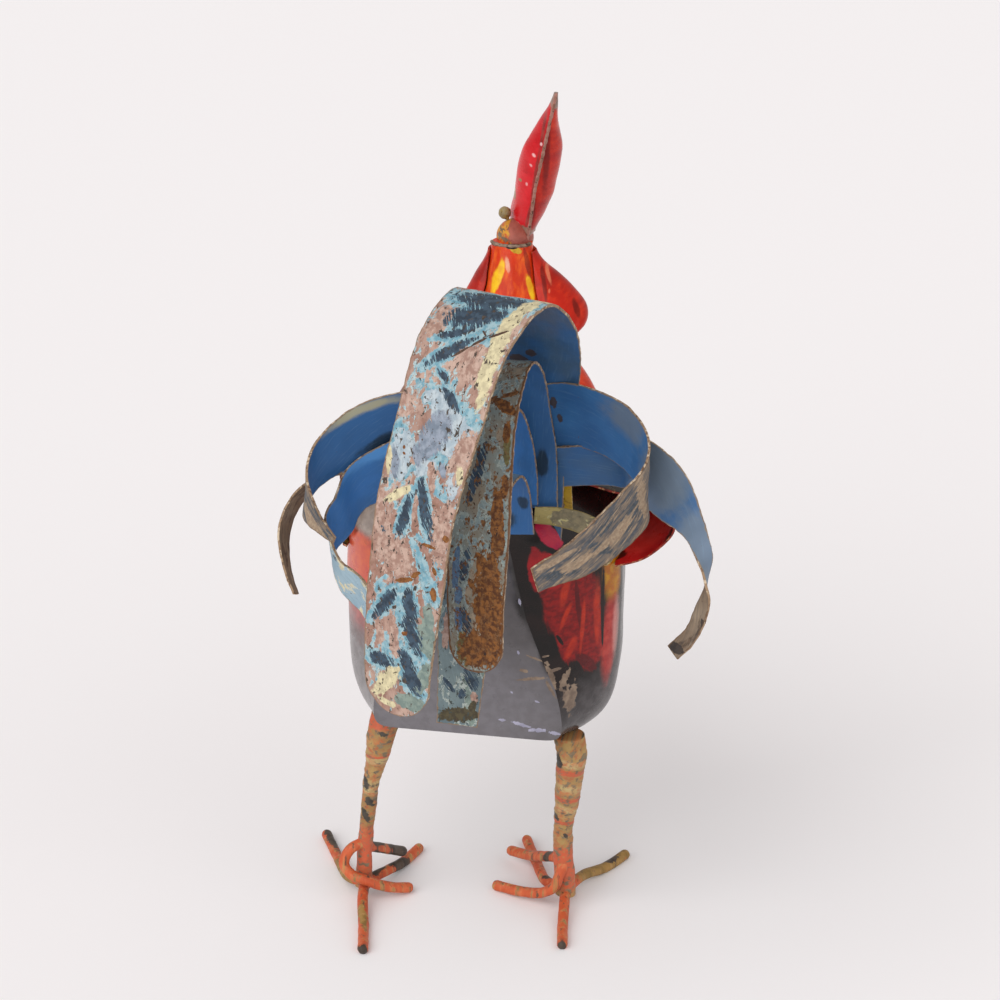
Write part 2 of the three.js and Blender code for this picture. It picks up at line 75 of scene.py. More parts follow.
# Body shell
REAR_PLATE_Y = 77
REAR_PLATE_LEAN = 4
REAR_PLATE_TAPER_END = 15
BODY_HALF_WIDTH = 87
REAR_HALF_WIDTH = 64
REAR_TAPER = [[0, 1], [0.25, 0.86], [0.36, 0.75], [0.57, 0.58], [0.77, 0.48], [0.94, 0.42], [1, 0.35]]
BODY_SECTIONS = [
    [77, 143, 288, 1],
    [62, 137, 293, 1],
    [40, 127, 298, 1],
    [15, 122, 304, 1],
    [-15, 124, 322, 0.97],
    [-40, 134, 345, 0.86],
    [-62, 154, 356, 0.66],
    [-80, 184, 350, 0.42],
    [-92, 222, 322, 0.14],
]
BODY_SQUARENESS = 3.5
BODY_FOOT_SQUARENESS = 4.6

# Neck and its two flared sheets
NECK_RINGS = [
    [-6, -46, 322, 48, 38],
    [-6, -64, 345, 34, 29],
    [-5, -88, 373, 18.5, 17],
    [-4, -96, 390, 15, 14],
    [-3, -101, 404, 13.2, 12.5],
]
HACKLE_TOP = 400
HACKLE_BOTTOM = 350
HACKLE_REACH = {"left": [14, 18, 24, 29, 33, 33, 28], "right": [14, 20, 31, 41, 49, 49, 39]}
HACKLE_TURN = [68, 160]
HACKLE_LAY = (55, 60)

# Head
HEAD_TURN = 14
HEAD_CENTRE = [-3, -113, 404]
HEAD_RADII = [12, 17, 11]
EYE_RADIUS = 4.2
EYE_WELD = 1.7
EYE_PLACE = {"left": [6.4, 4, 14.6], "right": [10.5, 14.5, 1]}
BEAK_LENGTH = 26
BEAK_RADIUS = 6
WATTLE_DROP = 30
WATTLE_WIDTH = 15
WATTLE_AHEAD = 9

# Comb
COMB_SEAM = [
    [-12.5, -103, 404], [-15, -102, 420], [-18, -100, 440], [-23, -98, 463], [-27.5, -96, 484],
    [-32, -94, 504],
]
COMB_TURN = 18
COMB_DEPTH = [39.7, 36, 31.5, 22.5, 3.1]
COMB_HALF_THICKNESS = {"left": [8.4, 9.6, 10, 10.8, 4, 1.2], "right": [6.8, 13.9, 17.9, 16.3, 7.8, 1.4]}
COMB_BULGE = 1.9
COMB_POINTS = 3
COMB_POINT_DEPTH = 7

# Tail strips, one behind the other on the body's back
STACK_FRONT_Y = 57
STACK_PITCH = SHEET + GAP
STRIP_STEP_ACROSS = 1.6
STRIP_STEP_ALONG = 1.8
STACK_Y = [STACK_FRONT_Y + place * STACK_PITCH for place in range(5)]
TAIL_STRIPS = {
    "sickle_main": {
        "line": [
            [-42, STACK_Y[0], 270], [-45, STACK_Y[0], 345], [-49, STACK_Y[0] + 2, 374], [-48, 92, 418],
            [-37, 135, 449], [-23, 171, 434], [-14, 190, 398], [-4, 203, 356], [2, 211, 306], [6, 215, 259],
            [6, 215, 231],
        ],
        "across": [[1, 0, 0], [0.99, -0.12, 0], [0.93, -0.36, 0], [0.93, -0.36, 0], [0.96, -0.28, 0]],
        "widths": [37, 38, 48, 58, 55, 50, 46, 38],
        "round_tip": True,
    },
    "sickle_second": {
        "line": [
            [-44, STACK_Y[3], 293], [-43, STACK_Y[3], 330], [-40, STACK_Y[3] + 5, 356],
            [-38, 88, 391], [-37, 117, 404], [-35, 151, 390], [-33, 164, 361], [-32, 175, 322],
            [-31, 180, 282], [-32, 182, 244],
        ],
        "across": [[1, -0.04, -0.01], [0.99, -0.12, -0.01], [0.98, -0.19, 0.01]],
        "widths": [30, 30, 31, 29, 31, 35, 34, 31],
        "round_tip": True,
    },
    "sickle_third": {
        "line": [
            [-34, STACK_Y[4], 296], [-34, STACK_Y[4], 314], [-33, 77, 346], [-30, 103, 373],
            [-23, 134, 363], [-16, 148, 309], [-19, 155, 254], [-15, 154, 193],
        ],
        "across": [[0.99, -0.09, -0.01], [0.95, -0.35, 0], [0.93, 0.04, 0]],
        "widths": [27, 25, 23, 30, 30, 24],
        "round_tip": False,
    },
    "sickle_short": {
        "line": [
            [-38, 82, 284], [-37, 83, 296], [-35, 88, 318], [-33, 102, 331], [-27, 124, 320],
            [-24, 133, 288], [-20, 137, 252],
        ],
        "across": [[1, 0, 0], [0.9, -0.43, 0], [0.95, -0.3, 0]],
        "widths": [20, 22, 22, 24, 20],
        "round_tip": True,
    },
    "curl_right_upper": {
        "line": [
            [-30, STACK_Y[2], 346], [-60, STACK_Y[2], 353], [-80, 73, 356], [-102, 92, 354],
            [-117, 118, 346], [-118, 136, 339], [-108, 154, 329], [-90, 175, 318], [-66, 193, 309],
        ],
        "across": [[0, 0, 1], [0, 0.1, 1], [-0.05, 0.05, 1], [0.12, 0.1, 1], [0.05, 0.1, 1]],
        "widths": [40, 40, 40, 38, 34, 28, 16],
        "round_tip": False,
    },
    "curl_right_lower": {
        "line": [
            [-30, STACK_Y[1], 314], [-60, STACK_Y[1], 319], [-93, 71, 328], [-110, 90, 337],
            [-135, 112, 323], [-152, 138, 308], [-155, 147, 287], [-150, 159, 268],
            [-139, 157, 253],
        ],
        "across": [
            [-0.02, 0.09, 0.99], [0.04, 0.29, 0.94], [-0.49, 0.13, 0.86], [-0.67, -0.09, 0.53],
            [0.06, -0.67, 0.46], [0.47, -0.5, 0.63],
        ],
        "widths": [26, 29, 29, 32, 13, 10, 10],
        "round_tip": False,
    },
    "curl_left_upper": {
        "line": [
            [-26, STACK_Y[1], 346], [8, STACK_Y[1] + 1, 349], [37, 76, 348], [59, 94, 342],
            [74, 116, 332], [76, 134, 322], [68, 148, 316], [53, 162, 309],
        ],
        "across": [
            [0, 0, 1], [-0.03, 0.14, 1], [0.21, 0.01, 0.98], [-0.1, 0.08, 0.96], [-0.23, -0.05, 0.95],
        ],
        "widths": [37, 33, 35, 29, 22, 4],
        "round_tip": False,
    },
    "curl_left_lower": {
        "line": [
            [-26, STACK_Y[2], 315], [6, STACK_Y[2] + 2, 320], [33, 81, 321], [54, 99, 314],
            [59, 116, 304], [63, 129, 296], [54, 150, 284], [35, 168, 277], [23, 187, 266],
        ],
        "across": [
            [-0.01, 0.01, 1], [0.1, 0.02, 0.99], [0.17, -0.05, 0.9], [0.05, 0.05, 0.92],
            [0.06, -0.04, 0.91],
        ],
        "widths": [29, 39, 31, 25, 22, 26],
        "round_tip": False,
    },
    "curl_left_outer": {
        "line": [
            [44, 48, 291], [62, 60, 306], [80, 76, 308], [93, 92, 300], [98, 104, 285],
            [95, 114, 270], [87, 124, 254],
        ],
        "across": [[0.3, 0.8, -0.4], [0.3, 0.8, 0.2], [0.2, 0.85, 0.3], [0.15, 0.85, 0.35]],
        "widths": [16, 16, 15, 6],
        "round_tip": False,
    },
}
TIP_STEP_SHARE = 0.12
# A strip stays flat over its root, which lies against the others, and its hammer marks start past it
ROOT_LENGTH = 45
ROOT_FADE = 50
FEATHERS = {
    "feather_gold": {
        "line": [[-46, 69, 291], [-60, 69, 291], [-78, 72, 288], [-91, 80, 281], [-92, 90, 272]],
        "across": [[0, -0.5, 0.87], [0, -0.5, 0.87], [-0.3, -0.5, 0.8]],
        "widths": [10, 12, 13, 11],
        "round_tip": True,
    },
    "feather_plate": {
        "line": [[-60, 50, 276], [-60, 51, 292], [-60, 53, 308]],
        "across": [[1, 0, 0], [1, 0, 0]],
        "widths": [13, 12, 11],
        "round_tip": False,
    },
    "feather_left": {
        "line": [[44, 38, 307], [64, 34, 298], [80, 28, 280], [85, 26, 262], [85, 24, 246]],
        "across": [[0.2, 1, 0], [0.1, 1, 0], [0, 1, 0]],
        "widths": [20, 24, 22, 12],
        "round_tip": True,
    },
}

FEATHER_HAMMERING = 0.15
PLATE_RIVETS = [291, 303]
RIVET_X = -60
RIVET_Y = (51.2, 52.6, 54)
RIVET_RADIUS = 1.5

# Wings
WING_FRONT_ARC = [[-64, -50, 318], [-80, -52, 302], [-88, -54, 284], [-88, -52, 268], [-82, -50, 256]]
WING_REAR_ARC = [
    [-66, 35, 300], [-88, 34, 294], [-112, 24, 284], [-124, 16, 264], [-108, 24, 247], [-90, 33, 244],
]
WING_FLARE = {"right": 1, "left": 0.06}
WING_LAY = (88, 96)
WING_BULGE = 9

# Legs and feet
LEGS = {
    "left": {
        "line": [
            [49, 56, 142], [52, 63, 128], [56, 60, 108], [60, 57, 92], [64, 52, 66], [67, 49, 44],
            [69, 50, 7],
        ],
        "half_widths": [10, 9, 7, 5.4, 4.8, 4.8, 5.4],
    },
    "right": {
        "line": [
            [-66, 54, 136], [-69, 61, 128], [-67, 57, 106], [-65, 51, 84], [-62, 44, 64], [-61, 39, 46],
            [-63, 36, 7],
        ],
        "half_widths": [10, 9.6, 8.6, 7.6, 6.2, 6.4, 6.6],
    },
}
ROD = 7
WITHIN_SOLID = 0.985
REST_Z = ROD / 2 - 0.6
TOES = {
    "left": {
        "toe_back": [[68, 52, 9], [66, 66, 7], [60, 90, REST_Z], [54, 118, REST_Z]],
        "toe_outer": [[71, 50, 10], [80, 44, 8.5], [96, 12, REST_Z], [111, -16, REST_Z]],
        "toe_inner": [[67, 48, 10], [57, 30, 7.5], [50, 10, REST_Z], [43, -10, REST_Z]],
        "spur_low": [
            [68, 49, 40], [76, 55, 37], [80, 57, 27], [75, 59, 20.5], [65, 59, 17], [52, 52, 9],
            [38, 41, REST_Z],
        ],
        "spur_high": [[67, 49, 37], [59, 30, 24], [50, 10, 10]],
    },
    "right": {
        "toe_back": [[-63, 38, 9], [-64, 50, 7], [-66, 70, REST_Z], [-69, 91, REST_Z]],
        "toe_outer": [[-64, 34, 10], [-71, 14, 7.5], [-84, -6, REST_Z], [-96, -26, REST_Z]],
        "toe_inner": [[-61, 34, 10], [-49, 25, 7], [-37, -4, REST_Z], [-25, -33, REST_Z]],
        "spur_low": [
            [-62, 40, 33], [-60, 45, 27], [-57, 46, 18], [-49, 44, 11], [-34, 37, 5.5], [-13, 28, REST_Z],
        ],
        "spur_high": [[-62, 34, 33], [-46, 18, 22], [-33, 3, 12], [-17, -9, 7]],
    },
}

# The camera looks at the bird from behind, a little from its right side and from above
CAMERA_AZIMUTH = 190
CAMERA_HEIGHT_ANGLE = 24
CAMERA_DISTANCE = 1500
CAMERA_TARGET = [-13, 0, 268]
CAMERA_LENS = 86.4
SENSOR_WIDTH = 36

# Floor and lights: each lamp's place in metres, its spread in degrees and its strength
FLOOR_SIZE = 8
LAMPS = {"key": ((0.9, 1.5, 1.7), 60, 1.7), "fill": ((-1.6, 1.1, 1.0), 70, 0.68)}
SKY_STRENGTH = 0.63


# Numbers along a line

def unit(vectors):
    """The vectors with a length of 1."""
    return vectors / np.linalg.norm(vectors, axis=1, keepdims=True)


def through(points, shares):
    """Points of a smooth centripetal curve through the given points, at shares of its parameter."""
    points = np.array(points, float)
    held = np.vstack([2 * points[0] - points[1], points, 2 * points[-1] - points[-2]])
    place = np.clip(shares, 0, 1) * (len(points) - 1)
    index = np.minimum(place.astype(int), len(points) - 2)
    share = (place - index)[:, None]
    before, start, end, after = (held[index + offset] for offset in range(4))

    def knot(one, other):
        return np.maximum(((other - one) ** 2).sum(axis=1, keepdims=True), 1e-8) ** 0.25

    first, middle, last = knot(before, start), knot(start, end), knot(end, after)
    leave = ((start - before) / first - (end - before) / (first + middle) + (end - start) / middle) * middle
    arrive = ((end - start) / middle - (after - start) / (middle + last) + (after - end) / last) * middle
    square = -3 * start + 3 * end - 2 * leave - arrive
    cube = 2 * start - 2 * end + leave + arrive
    return start + leave * share + square * share ** 2 + cube * share ** 3


class Line:
    """A smooth line through points, read by shares of its length."""

    SAMPLES = 400

    def __init__(self, points):
        self.points = points
        self.shares = np.linspace(0, 1, self.SAMPLES + 1)
        steps = np.linalg.norm(np.diff(through(points, self.shares), axis=0), axis=1)
        self.lengths = np.concatenate([[0], np.cumsum(steps)])
        self.length = self.lengths[-1]

    def share(self, along):
        """The curve's own parameter at a share of the length."""
        return np.interp(np.asarray(along, float) * self.length, self.lengths, self.shares)

    def at(self, along):
        """The point of the line."""
        return through(self.points, self.share(along))

    def ahead(self, along):
        """The direction of the line."""
        share, small = self.share(along), 1e-3
        return unit(through(self.points, share + small) - through(self.points, share - small))


def between(values, share):
    """A smooth value between evenly spaced values."""
    values = np.array(values, float)
    last = len(values) - 1
    place = np.clip(share, 0, 1) * last
    index = np.minimum(place.astype(int), last - 1)
    share = place - index
    before, start = values[np.maximum(index - 1, 0)], values[index]
    end, after = values[index + 1], values[np.minimum(index + 2, last)]
    leave, arrive = (end - before) / 2, (after - start) / 2
    cube = 2 * start - 2 * end + leave + arrive
    square = -3 * start + 3 * end - 2 * leave - arrive
    return ((cube * share + square) * share + leave) * share + start


def power(value, exponent):
    """A signed power."""
    return np.sign(value) * np.abs(value) ** exponent


def ripple(first, second, pitch, seed=0):
    """A slow uneven wave between about -1 and 1, as hammering leaves it."""
    total = 0
    for turn in range(5):
        angle = 2.4 * turn + 0.7 * seed
        step = FULL_TURN / (pitch * (0.7 + 0.17 * turn))
        place = first * math.cos(angle) + second * math.sin(angle)
        total = total + np.sin(place * step + 1.9 * turn + seed)
    return total / 3


# Meshes

def grid(name, across, along):
    """A plane grid whose points are then shaped, with each point's two shares."""
    bpy.ops.object.select_all(action="DESELECT")
    bpy.ops.mesh.primitive_grid_add(x_subdivisions=across, y_subdivisions=along, size=1)
    piece = bpy.context.object
    piece.name = name
    piece.data.name = name
    places = np.empty(len(piece.data.vertices) * 3, np.float32)
    piece.data.vertices.foreach_get("co", places)
    places = places.reshape(-1, 3).astype(float) + 0.5
    return piece, np.clip(places[:, 0], 0, 1), np.clip(places[:, 1], 0, 1)


def set_points(piece, points):
    """Places a mesh's points, given in the bird's own millimetres."""
    moved = (points + SHIFT) * MM
    piece.data.vertices.foreach_set("co", moved.astype(np.float32).ravel())
    piece.data.update()


def set_lay(piece, name, first, second):
    """Lays two numbers of each point out as a UV map."""
    corners = np.empty(len(piece.data.loops), np.int32)
    piece.data.loops.foreach_get("vertex_index", corners)
    layer = piece.data.uv_layers.new(name=name)
    pairs = np.stack([first[corners], second[corners]], axis=1)
    layer.data.foreach_set("uv", pairs.astype(np.float32).ravel())


def lay_out(piece, along, over, edge):
    """Gives a mesh its maps: millimetres along and over it, and millimetres from its edge."""
    while piece.data.uv_layers:
        piece.data.uv_layers.remove(piece.data.uv_layers[0])
    set_lay(piece, "Lay", along, over)
    set_lay(piece, "Edge", edge, edge * 0)


def nearness(first, second, spots):
    """How near each point is to any of the spots: 1 in a spot's middle and 0 on its rim."""
    nearest = np.full(len(first), -1.0)
    for along, side, length, width, turn in spots:
        angle = math.radians(turn)
        ahead = (first - along) * math.cos(angle) + (second - side) * math.sin(angle)
        aside = (second - side) * math.cos(angle) - (first - along) * math.sin(angle)
        nearest = np.maximum(nearest, 1 - np.hypot(ahead / length, aside / width))
    return nearest


def pick(piece, *others):
    """Selects a piece, which becomes the active one, and the others with it, and nothing else."""
    bpy.ops.object.select_all(action="DESELECT")
    for chosen in (*others, piece):
        chosen.select_set(True)
    bpy.context.view_layer.objects.active = piece


def apply(piece, kind, **settings):
    """Adds a modifier to the piece and applies it."""
    pick(piece)
    modifier = piece.modifiers.new(kind.title(), kind)
    for setting, value in settings.items():
        setattr(modifier, setting, value)
    bpy.ops.object.modifier_apply(modifier=modifier.name)


def in_edit_mode(piece, *steps):
    """Runs steps on the whole mesh of a piece in edit mode."""
    pick(piece)
    bpy.ops.object.mode_set(mode="EDIT")
    bpy.ops.mesh.select_all(action="SELECT")
    for step in steps:
        step()
    bpy.ops.object.mode_set(mode="OBJECT")


def close_up(piece):
    """Merges seams and poles and turns the faces outwards."""
    in_edit_mode(
        piece,
        lambda: bpy.ops.mesh.remove_doubles(threshold=1e-5),
        lambda: bpy.ops.mesh.dissolve_degenerate(threshold=1e-6),
        lambda: bpy.ops.mesh.normals_make_consistent(inside=False),
    )


def smooth(piece, angle=38):
    """Shades the piece smooth, but for edges sharper than the angle."""
    pick(piece)
    bpy.ops.object.shade_smooth_by_angle(angle=math.radians(angle))


def loft(name, surface, sides, steps, caps=3):
    """A closed skin: surface(along, turn, reach) gives its wall, and its ends where reach falls to 0.

    The wall's left half takes the first material, the two ends the next two and the right half the fourth.
    """
    piece, over, rise = grid(name, sides, steps + 2 * caps)
    row = rise * (steps + 2 * caps)
    along = np.clip((row - caps) / steps, 0, 1)
    reach = np.clip(np.minimum(row, steps + 2 * caps - row) / caps, 0, 1)
    turn = over * FULL_TURN
    turn[over > 1 - 1e-6] = 0
    points = surface(along, turn, reach)
    set_points(piece, points)
    lay_out(piece, along * 100, turn / FULL_TURN * 100, reach * 0 + 20)
    for face in piece.data.polygons:
        if row[list(face.vertices)].max() < caps + 0.5:
            face.material_index = 1
        elif row[list(face.vertices)].min() > steps + caps - 0.5:
            face.material_index = 2
        elif over[list(face.vertices)].min() > 0.5 - 1e-6:
            face.material_index = 3
    close_up(piece)
    return piece


def sheet(name, surface, across, along, thickness, faces, masks=None):
    """A bent sheet with its thickness. surface(along, over) gives points, millimetres and edge distance.

    Each mask is a map that holds how near each point is to the spots of two lists.
    """
    piece, over, share = grid(name, across, along)
    points, run, side, edge = surface(share, over)
    set_points(piece, points)
    lay_out(piece, run, side, edge)
    for mask, (one, other) in (masks or {}).items():
        set_lay(piece, mask, nearness(run, side, one), nearness(run, side, other))
    front, back, rim = faces
    for material in (back, front, rim):
        piece.data.materials.append(material)
    apply(piece, "SOLIDIFY", thickness=thickness, offset=0, material_offset=1, material_offset_rim=2)
    in_edit_mode(piece, lambda: bpy.ops.mesh.normals_make_consistent(inside=False))
    sharp = math.radians(SHARP_EDGE)
    apply(piece, "BEVEL", width=EDGE_BEVEL * MM, segments=2, limit_method="ANGLE", angle_limit=sharp)
    smooth(piece)
    return piece


def strip_surface(line, across, widths, round_tip, seed, hammering, ragged):
    """The middle face of a strip of sheet, and the strip's length."""
    middle = Line(line)
    tip_share = between(widths, np.array([1.0]))[0] / 2 / middle.length if round_tip else 0

    def surface(step, over):
        bend = TIP_STEP_SHARE if round_tip else 0
        turn = np.clip((step - 1 + bend) / max(bend, 1e-9), 0, 1) * math.pi / 2 if round_tip else step * 0
        along = np.minimum(1, step / (1 - bend)) * (1 - tip_share) + tip_share * np.sin(turn)
        ahead = middle.ahead(along)
        side = np.stack([between([entry[axis] for entry in across], along) for axis in range(3)], axis=1)
        side = unit(side - (side * ahead).sum(axis=1, keepdims=True) * ahead)
        normal = np.cross(ahead, side)
        run = along * middle.length
        width = between(widths, along) * np.maximum(0.05, np.cos(turn))
        offset = width * (over - 0.5)
        rim = np.abs(2 * over - 1) ** 6 * np.sign(over - 0.5)
        free = np.clip((run - ROOT_LENGTH) / ROOT_FADE, 0, 1)
        wear = ripple(run, over * 40, 9, seed) + 0.6 * ripple(run, over * 40, 3.4, seed + 3)
        offset = offset + rim * ragged * wear * free
        lift = hammering * free * (ripple(run, offset, 34, seed) + 0.45 * ripple(run, offset, 12, seed + 1))
        points = middle.at(along) + side * offset[:, None] + normal * lift[:, None]
        edge = np.minimum(width / 2 - np.abs(width * (over - 0.5)), (1 - along) * middle.length + 0 * over)
        return points, run, width * (over - 0.5), np.maximum(edge, 0)

    return surface, middle.length


def around(middle, along, turn, girth, helper):
    """Points around a line at a distance from it. The helper is a direction that the line never takes."""
    ahead = middle.ahead(along)
    side = unit(np.cross(ahead, np.tile(helper, (len(along), 1))))
    up = np.cross(side, ahead)
    spread = np.cos(turn)[:, None] * side + np.sin(turn)[:, None] * up
    return middle.at(along) + spread * girth[:, None]


def tube(name, line, radius, sides=24, pitch=1.5, flat=False, lumps=0.0, seed=0):
    """A rod along a line, with a rounded end. Where flat is set, it is worn level on the ground."""
    middle = Line(line)
    steps = max(6, int(middle.length / pitch))

    def surface(along, turn, reach):
        steep = np.abs(middle.ahead(along)[:, 2]).max() > 0.9
        run = along * middle.length
        girth = radius * (1 + lumps * ripple(run, turn * radius, 11, seed))
        end = np.clip((middle.length - run) / radius, 0, 1)
        girth = girth * np.sqrt(np.clip(1 - (1 - end) ** 2, 0.02, 1)) * reach
        points = around(middle, along, turn, girth, [0.13, 1, 0.21] if steep else [0.0, 0.0, 1.0])
        if flat:
            points[:, 2] = np.maximum(points[:, 2], 0)
        return points

    return loft(name, surface, sides, steps, 2)


def bead(name, line, radius, pitch=3.0, seed=0):
    """A weld bead: a row of overlapping ripples along a line."""
    middle = Line(line)
    steps = max(8, int(middle.length / 0.7))

    def surface(along, turn, reach):
        run = along * middle.length
        wave = 0.82 + 0.22 * np.abs(np.sin(math.pi * run / pitch)) + 0.12 * ripple(run, turn, 7, seed)
        end = np.clip(np.minimum(run, middle.length - run) / radius, 0, 1)
        girth = radius * wave * np.sqrt(np.clip(1 - (1 - end) ** 2, 0.03, 1)) * reach
        return around(middle, along, turn, girth, [0.31, 0.2, 0.93])

    return loft(name, surface, 12, steps, 1)


def dress(piece, *materials):
    """Gives a piece its materials. A single one covers it all."""
    for material in materials:
        piece.data.materials.append(material)
    if len(materials) == 1:
        for face in piece.data.polygons:
            face.material_index = 0


def join(piece, *others):
    """Joins other meshes to a piece, which keeps its name."""
    pick(piece, *others)
    bpy.ops.object.join()


def hand_over(piece, node):
    """The piece rides on the bird's one body, in place of its CAD node."""
    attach(piece, "root")
    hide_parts(node)


# Materials

# A turn too small to see, so that each coat's noise goes through the same nodes
NO_TURN = 1e-4


def hue(code):
    """A colour as it is written, such as #c9a596, as linear numbers."""
    parts = [int(code[place:place + 2], 16) / 255 for place in (1, 3, 5)]
    return (*[part / 12.92 if part <= 0.04045 else ((part + 0.055) / 1.055) ** 2.4 for part in parts], 1)


class Number:
    """A number on a node's socket. Sums and products with it add Math nodes."""

    def __init__(self, finish, socket):
        self.finish = finish
        self.socket = socket

    def __add__(self, other):
        return self.finish.math("ADD", self, other)

    __radd__ = __add__

    def __sub__(self, other):
        return self.finish.math("SUBTRACT", self, other)

    def __rsub__(self, other):
        return self.finish.math("SUBTRACT", other, self)

    def __mul__(self, other):
        return self.finish.math("MULTIPLY", self, other)

    __rmul__ = __mul__

    def largest(self, other):
        """The larger of the two."""
        return self.finish.math("MAXIMUM", self, other)


class Finish:
    """A material being made."""

    def __init__(self, name):
        self.material = bpy.data.materials.new(name)
        self.material.use_nodes = True
        self.nodes = self.material.node_tree.nodes
        self.links = self.material.node_tree.links
        self.shader = self.nodes["Principled BSDF"]
        self.maps = {}

    def node(self, kind, settings=None, sockets=None):
        """Adds a node with its settings, then the values or links of its sockets."""
        node = self.nodes.new(kind)
        for setting, value in (settings or {}).items():
            setattr(node, setting, value)
        for socket, value in (sockets or {}).items():
            self.feed(node.inputs[socket], value)
        return node

    def feed(self, socket, value):
        """Links a socket, or sets it to a number or a written colour."""
        if isinstance(value, Number):
            self.links.new(value.socket, socket)
        elif isinstance(value, bpy.types.NodeSocket):
            self.links.new(value, socket)
        elif isinstance(value, str):
            socket.default_value = hue(value)
        else:
            socket.default_value = value

    def math(self, operation, *values):
        """A Math node on numbers."""
        node = self.node("ShaderNodeMath", {"operation": operation}, dict(enumerate(values)))
        return Number(self, node.outputs[0])

    def mix(self, factor, one, other):
        """One colour, and as much of the other as the factor says."""
        return self.node("ShaderNodeMix", {"data_type": "RGBA"}, {0: factor, 6: one, 7: other}).outputs[2]

    def map(self, name):
        """A map of the piece, in millimetres: its place, its lay or its edge."""
        if name not in self.maps:
            if name == "Place":
                place = self.node("ShaderNodeTexCoord").outputs["Object"]
                scaled = self.node(
                    "ShaderNodeMapping", {}, {"Vector": place, "Scale": (METRE_IN_MM,) * 3},
                )
                moved = self.node(
                    "ShaderNodeVectorMath", {"operation": "SUBTRACT"},
                    {0: scaled.outputs[0], 1: tuple(SHIFT)},
                )
                self.maps[name] = moved.outputs[0]
            else:
                self.maps[name] = self.node("ShaderNodeUVMap", {"uv_map": name}).outputs[0]
        return self.maps[name]

    def axis(self, vector, place):
        """One of a vector's three numbers."""
        node = self.node("ShaderNodeSeparateXYZ", {}, {0: vector})
        return Number(self, node.outputs[place])

    def edge(self):
        """How far a place is from the sheet's edge, in millimetres."""
        return self.axis(self.map("Edge"), 0)

    def noise(self, vector, size, detail=4.0, roughness=0.55, stretch=1.0, turn=0.0, warp=0.0):
        """Noise with spots of a size in millimetres, drawn out along the first axis by stretch."""
        turned = self.node(
            "ShaderNodeMapping", {"vector_type": "POINT"},
            {"Vector": vector, "Scale": (1 / (size * stretch), 1 / size, 1 / size)},
        )
        if turn:
            first = self.node("ShaderNodeMapping", {}, {"Vector": vector, "Rotation": (0, 0, turn)})
            self.feed(turned.inputs["Vector"], first.outputs[0])
        node = self.node(
            "ShaderNodeTexNoise", {"noise_dimensions": "3D"},
            {
                "Vector": turned.outputs[0], "Scale": 1.0, "Detail": detail, "Roughness": roughness,
                "Distortion": warp,
            },
        )
        return Number(self, node.outputs[0])

    def over(self, value, cut, soft=0.02):
        """A mask that is 1 where the value passes the cut."""
        node = self.node(
            "ShaderNodeMapRange", {"interpolation_type": "SMOOTHSTEP", "clamp": True},
            {"Value": value, "From Min": cut - soft, "From Max": cut + soft, "To Min": 0.0, "To Max": 1.0},
        )
        return Number(self, node.outputs[0])

    def near(self, vector, spots):
        """How near a place is to any of the spots: 1 in a spot's middle and 0 on its rim.

        A spot is its middle's two numbers, its half length and half width, and its turn in degrees.
        """
        total = None
        for along, side, length, width, turn in spots:
            moved = self.node(
                "ShaderNodeMapping", {"vector_type": "TEXTURE"},
                {
                    "Vector": vector, "Location": (along, side, 0), "Rotation": (0, 0, math.radians(turn)),
                    "Scale": (length, width, 1e6),
                },
            )
            reach = self.node("ShaderNodeVectorMath", {"operation": "LENGTH"}, {0: moved.outputs[0]})
            here = 1 - Number(self, reach.outputs["Value"])
            total = here if total is None else total.largest(here)
        return total

    def bump(self, height, depth):
        """Relief: height 1 stands depth millimetres above height 0."""
        node = self.node(
            "ShaderNodeBump", {}, {"Strength": 1.0, "Distance": depth * MM, "Height": height},
        )
        self.links.new(node.outputs[0], self.shader.inputs["Normal"])

    def surface(self, colour, roughness, metallic=0.0, coat=0.0, shine=0.3):
        """Feeds the shader and returns the finished material."""
        self.feed(self.shader.inputs["Base Color"], colour)
        self.feed(self.shader.inputs["Roughness"], roughness)
        self.feed(self.shader.inputs["Metallic"], metallic)
        self.feed(self.shader.inputs["Coat Weight"], coat)
        self.shader.inputs["Coat Roughness"].default_value = 0.12
        self.shader.inputs["Specular IOR Level"].default_value = shine
        return self.material


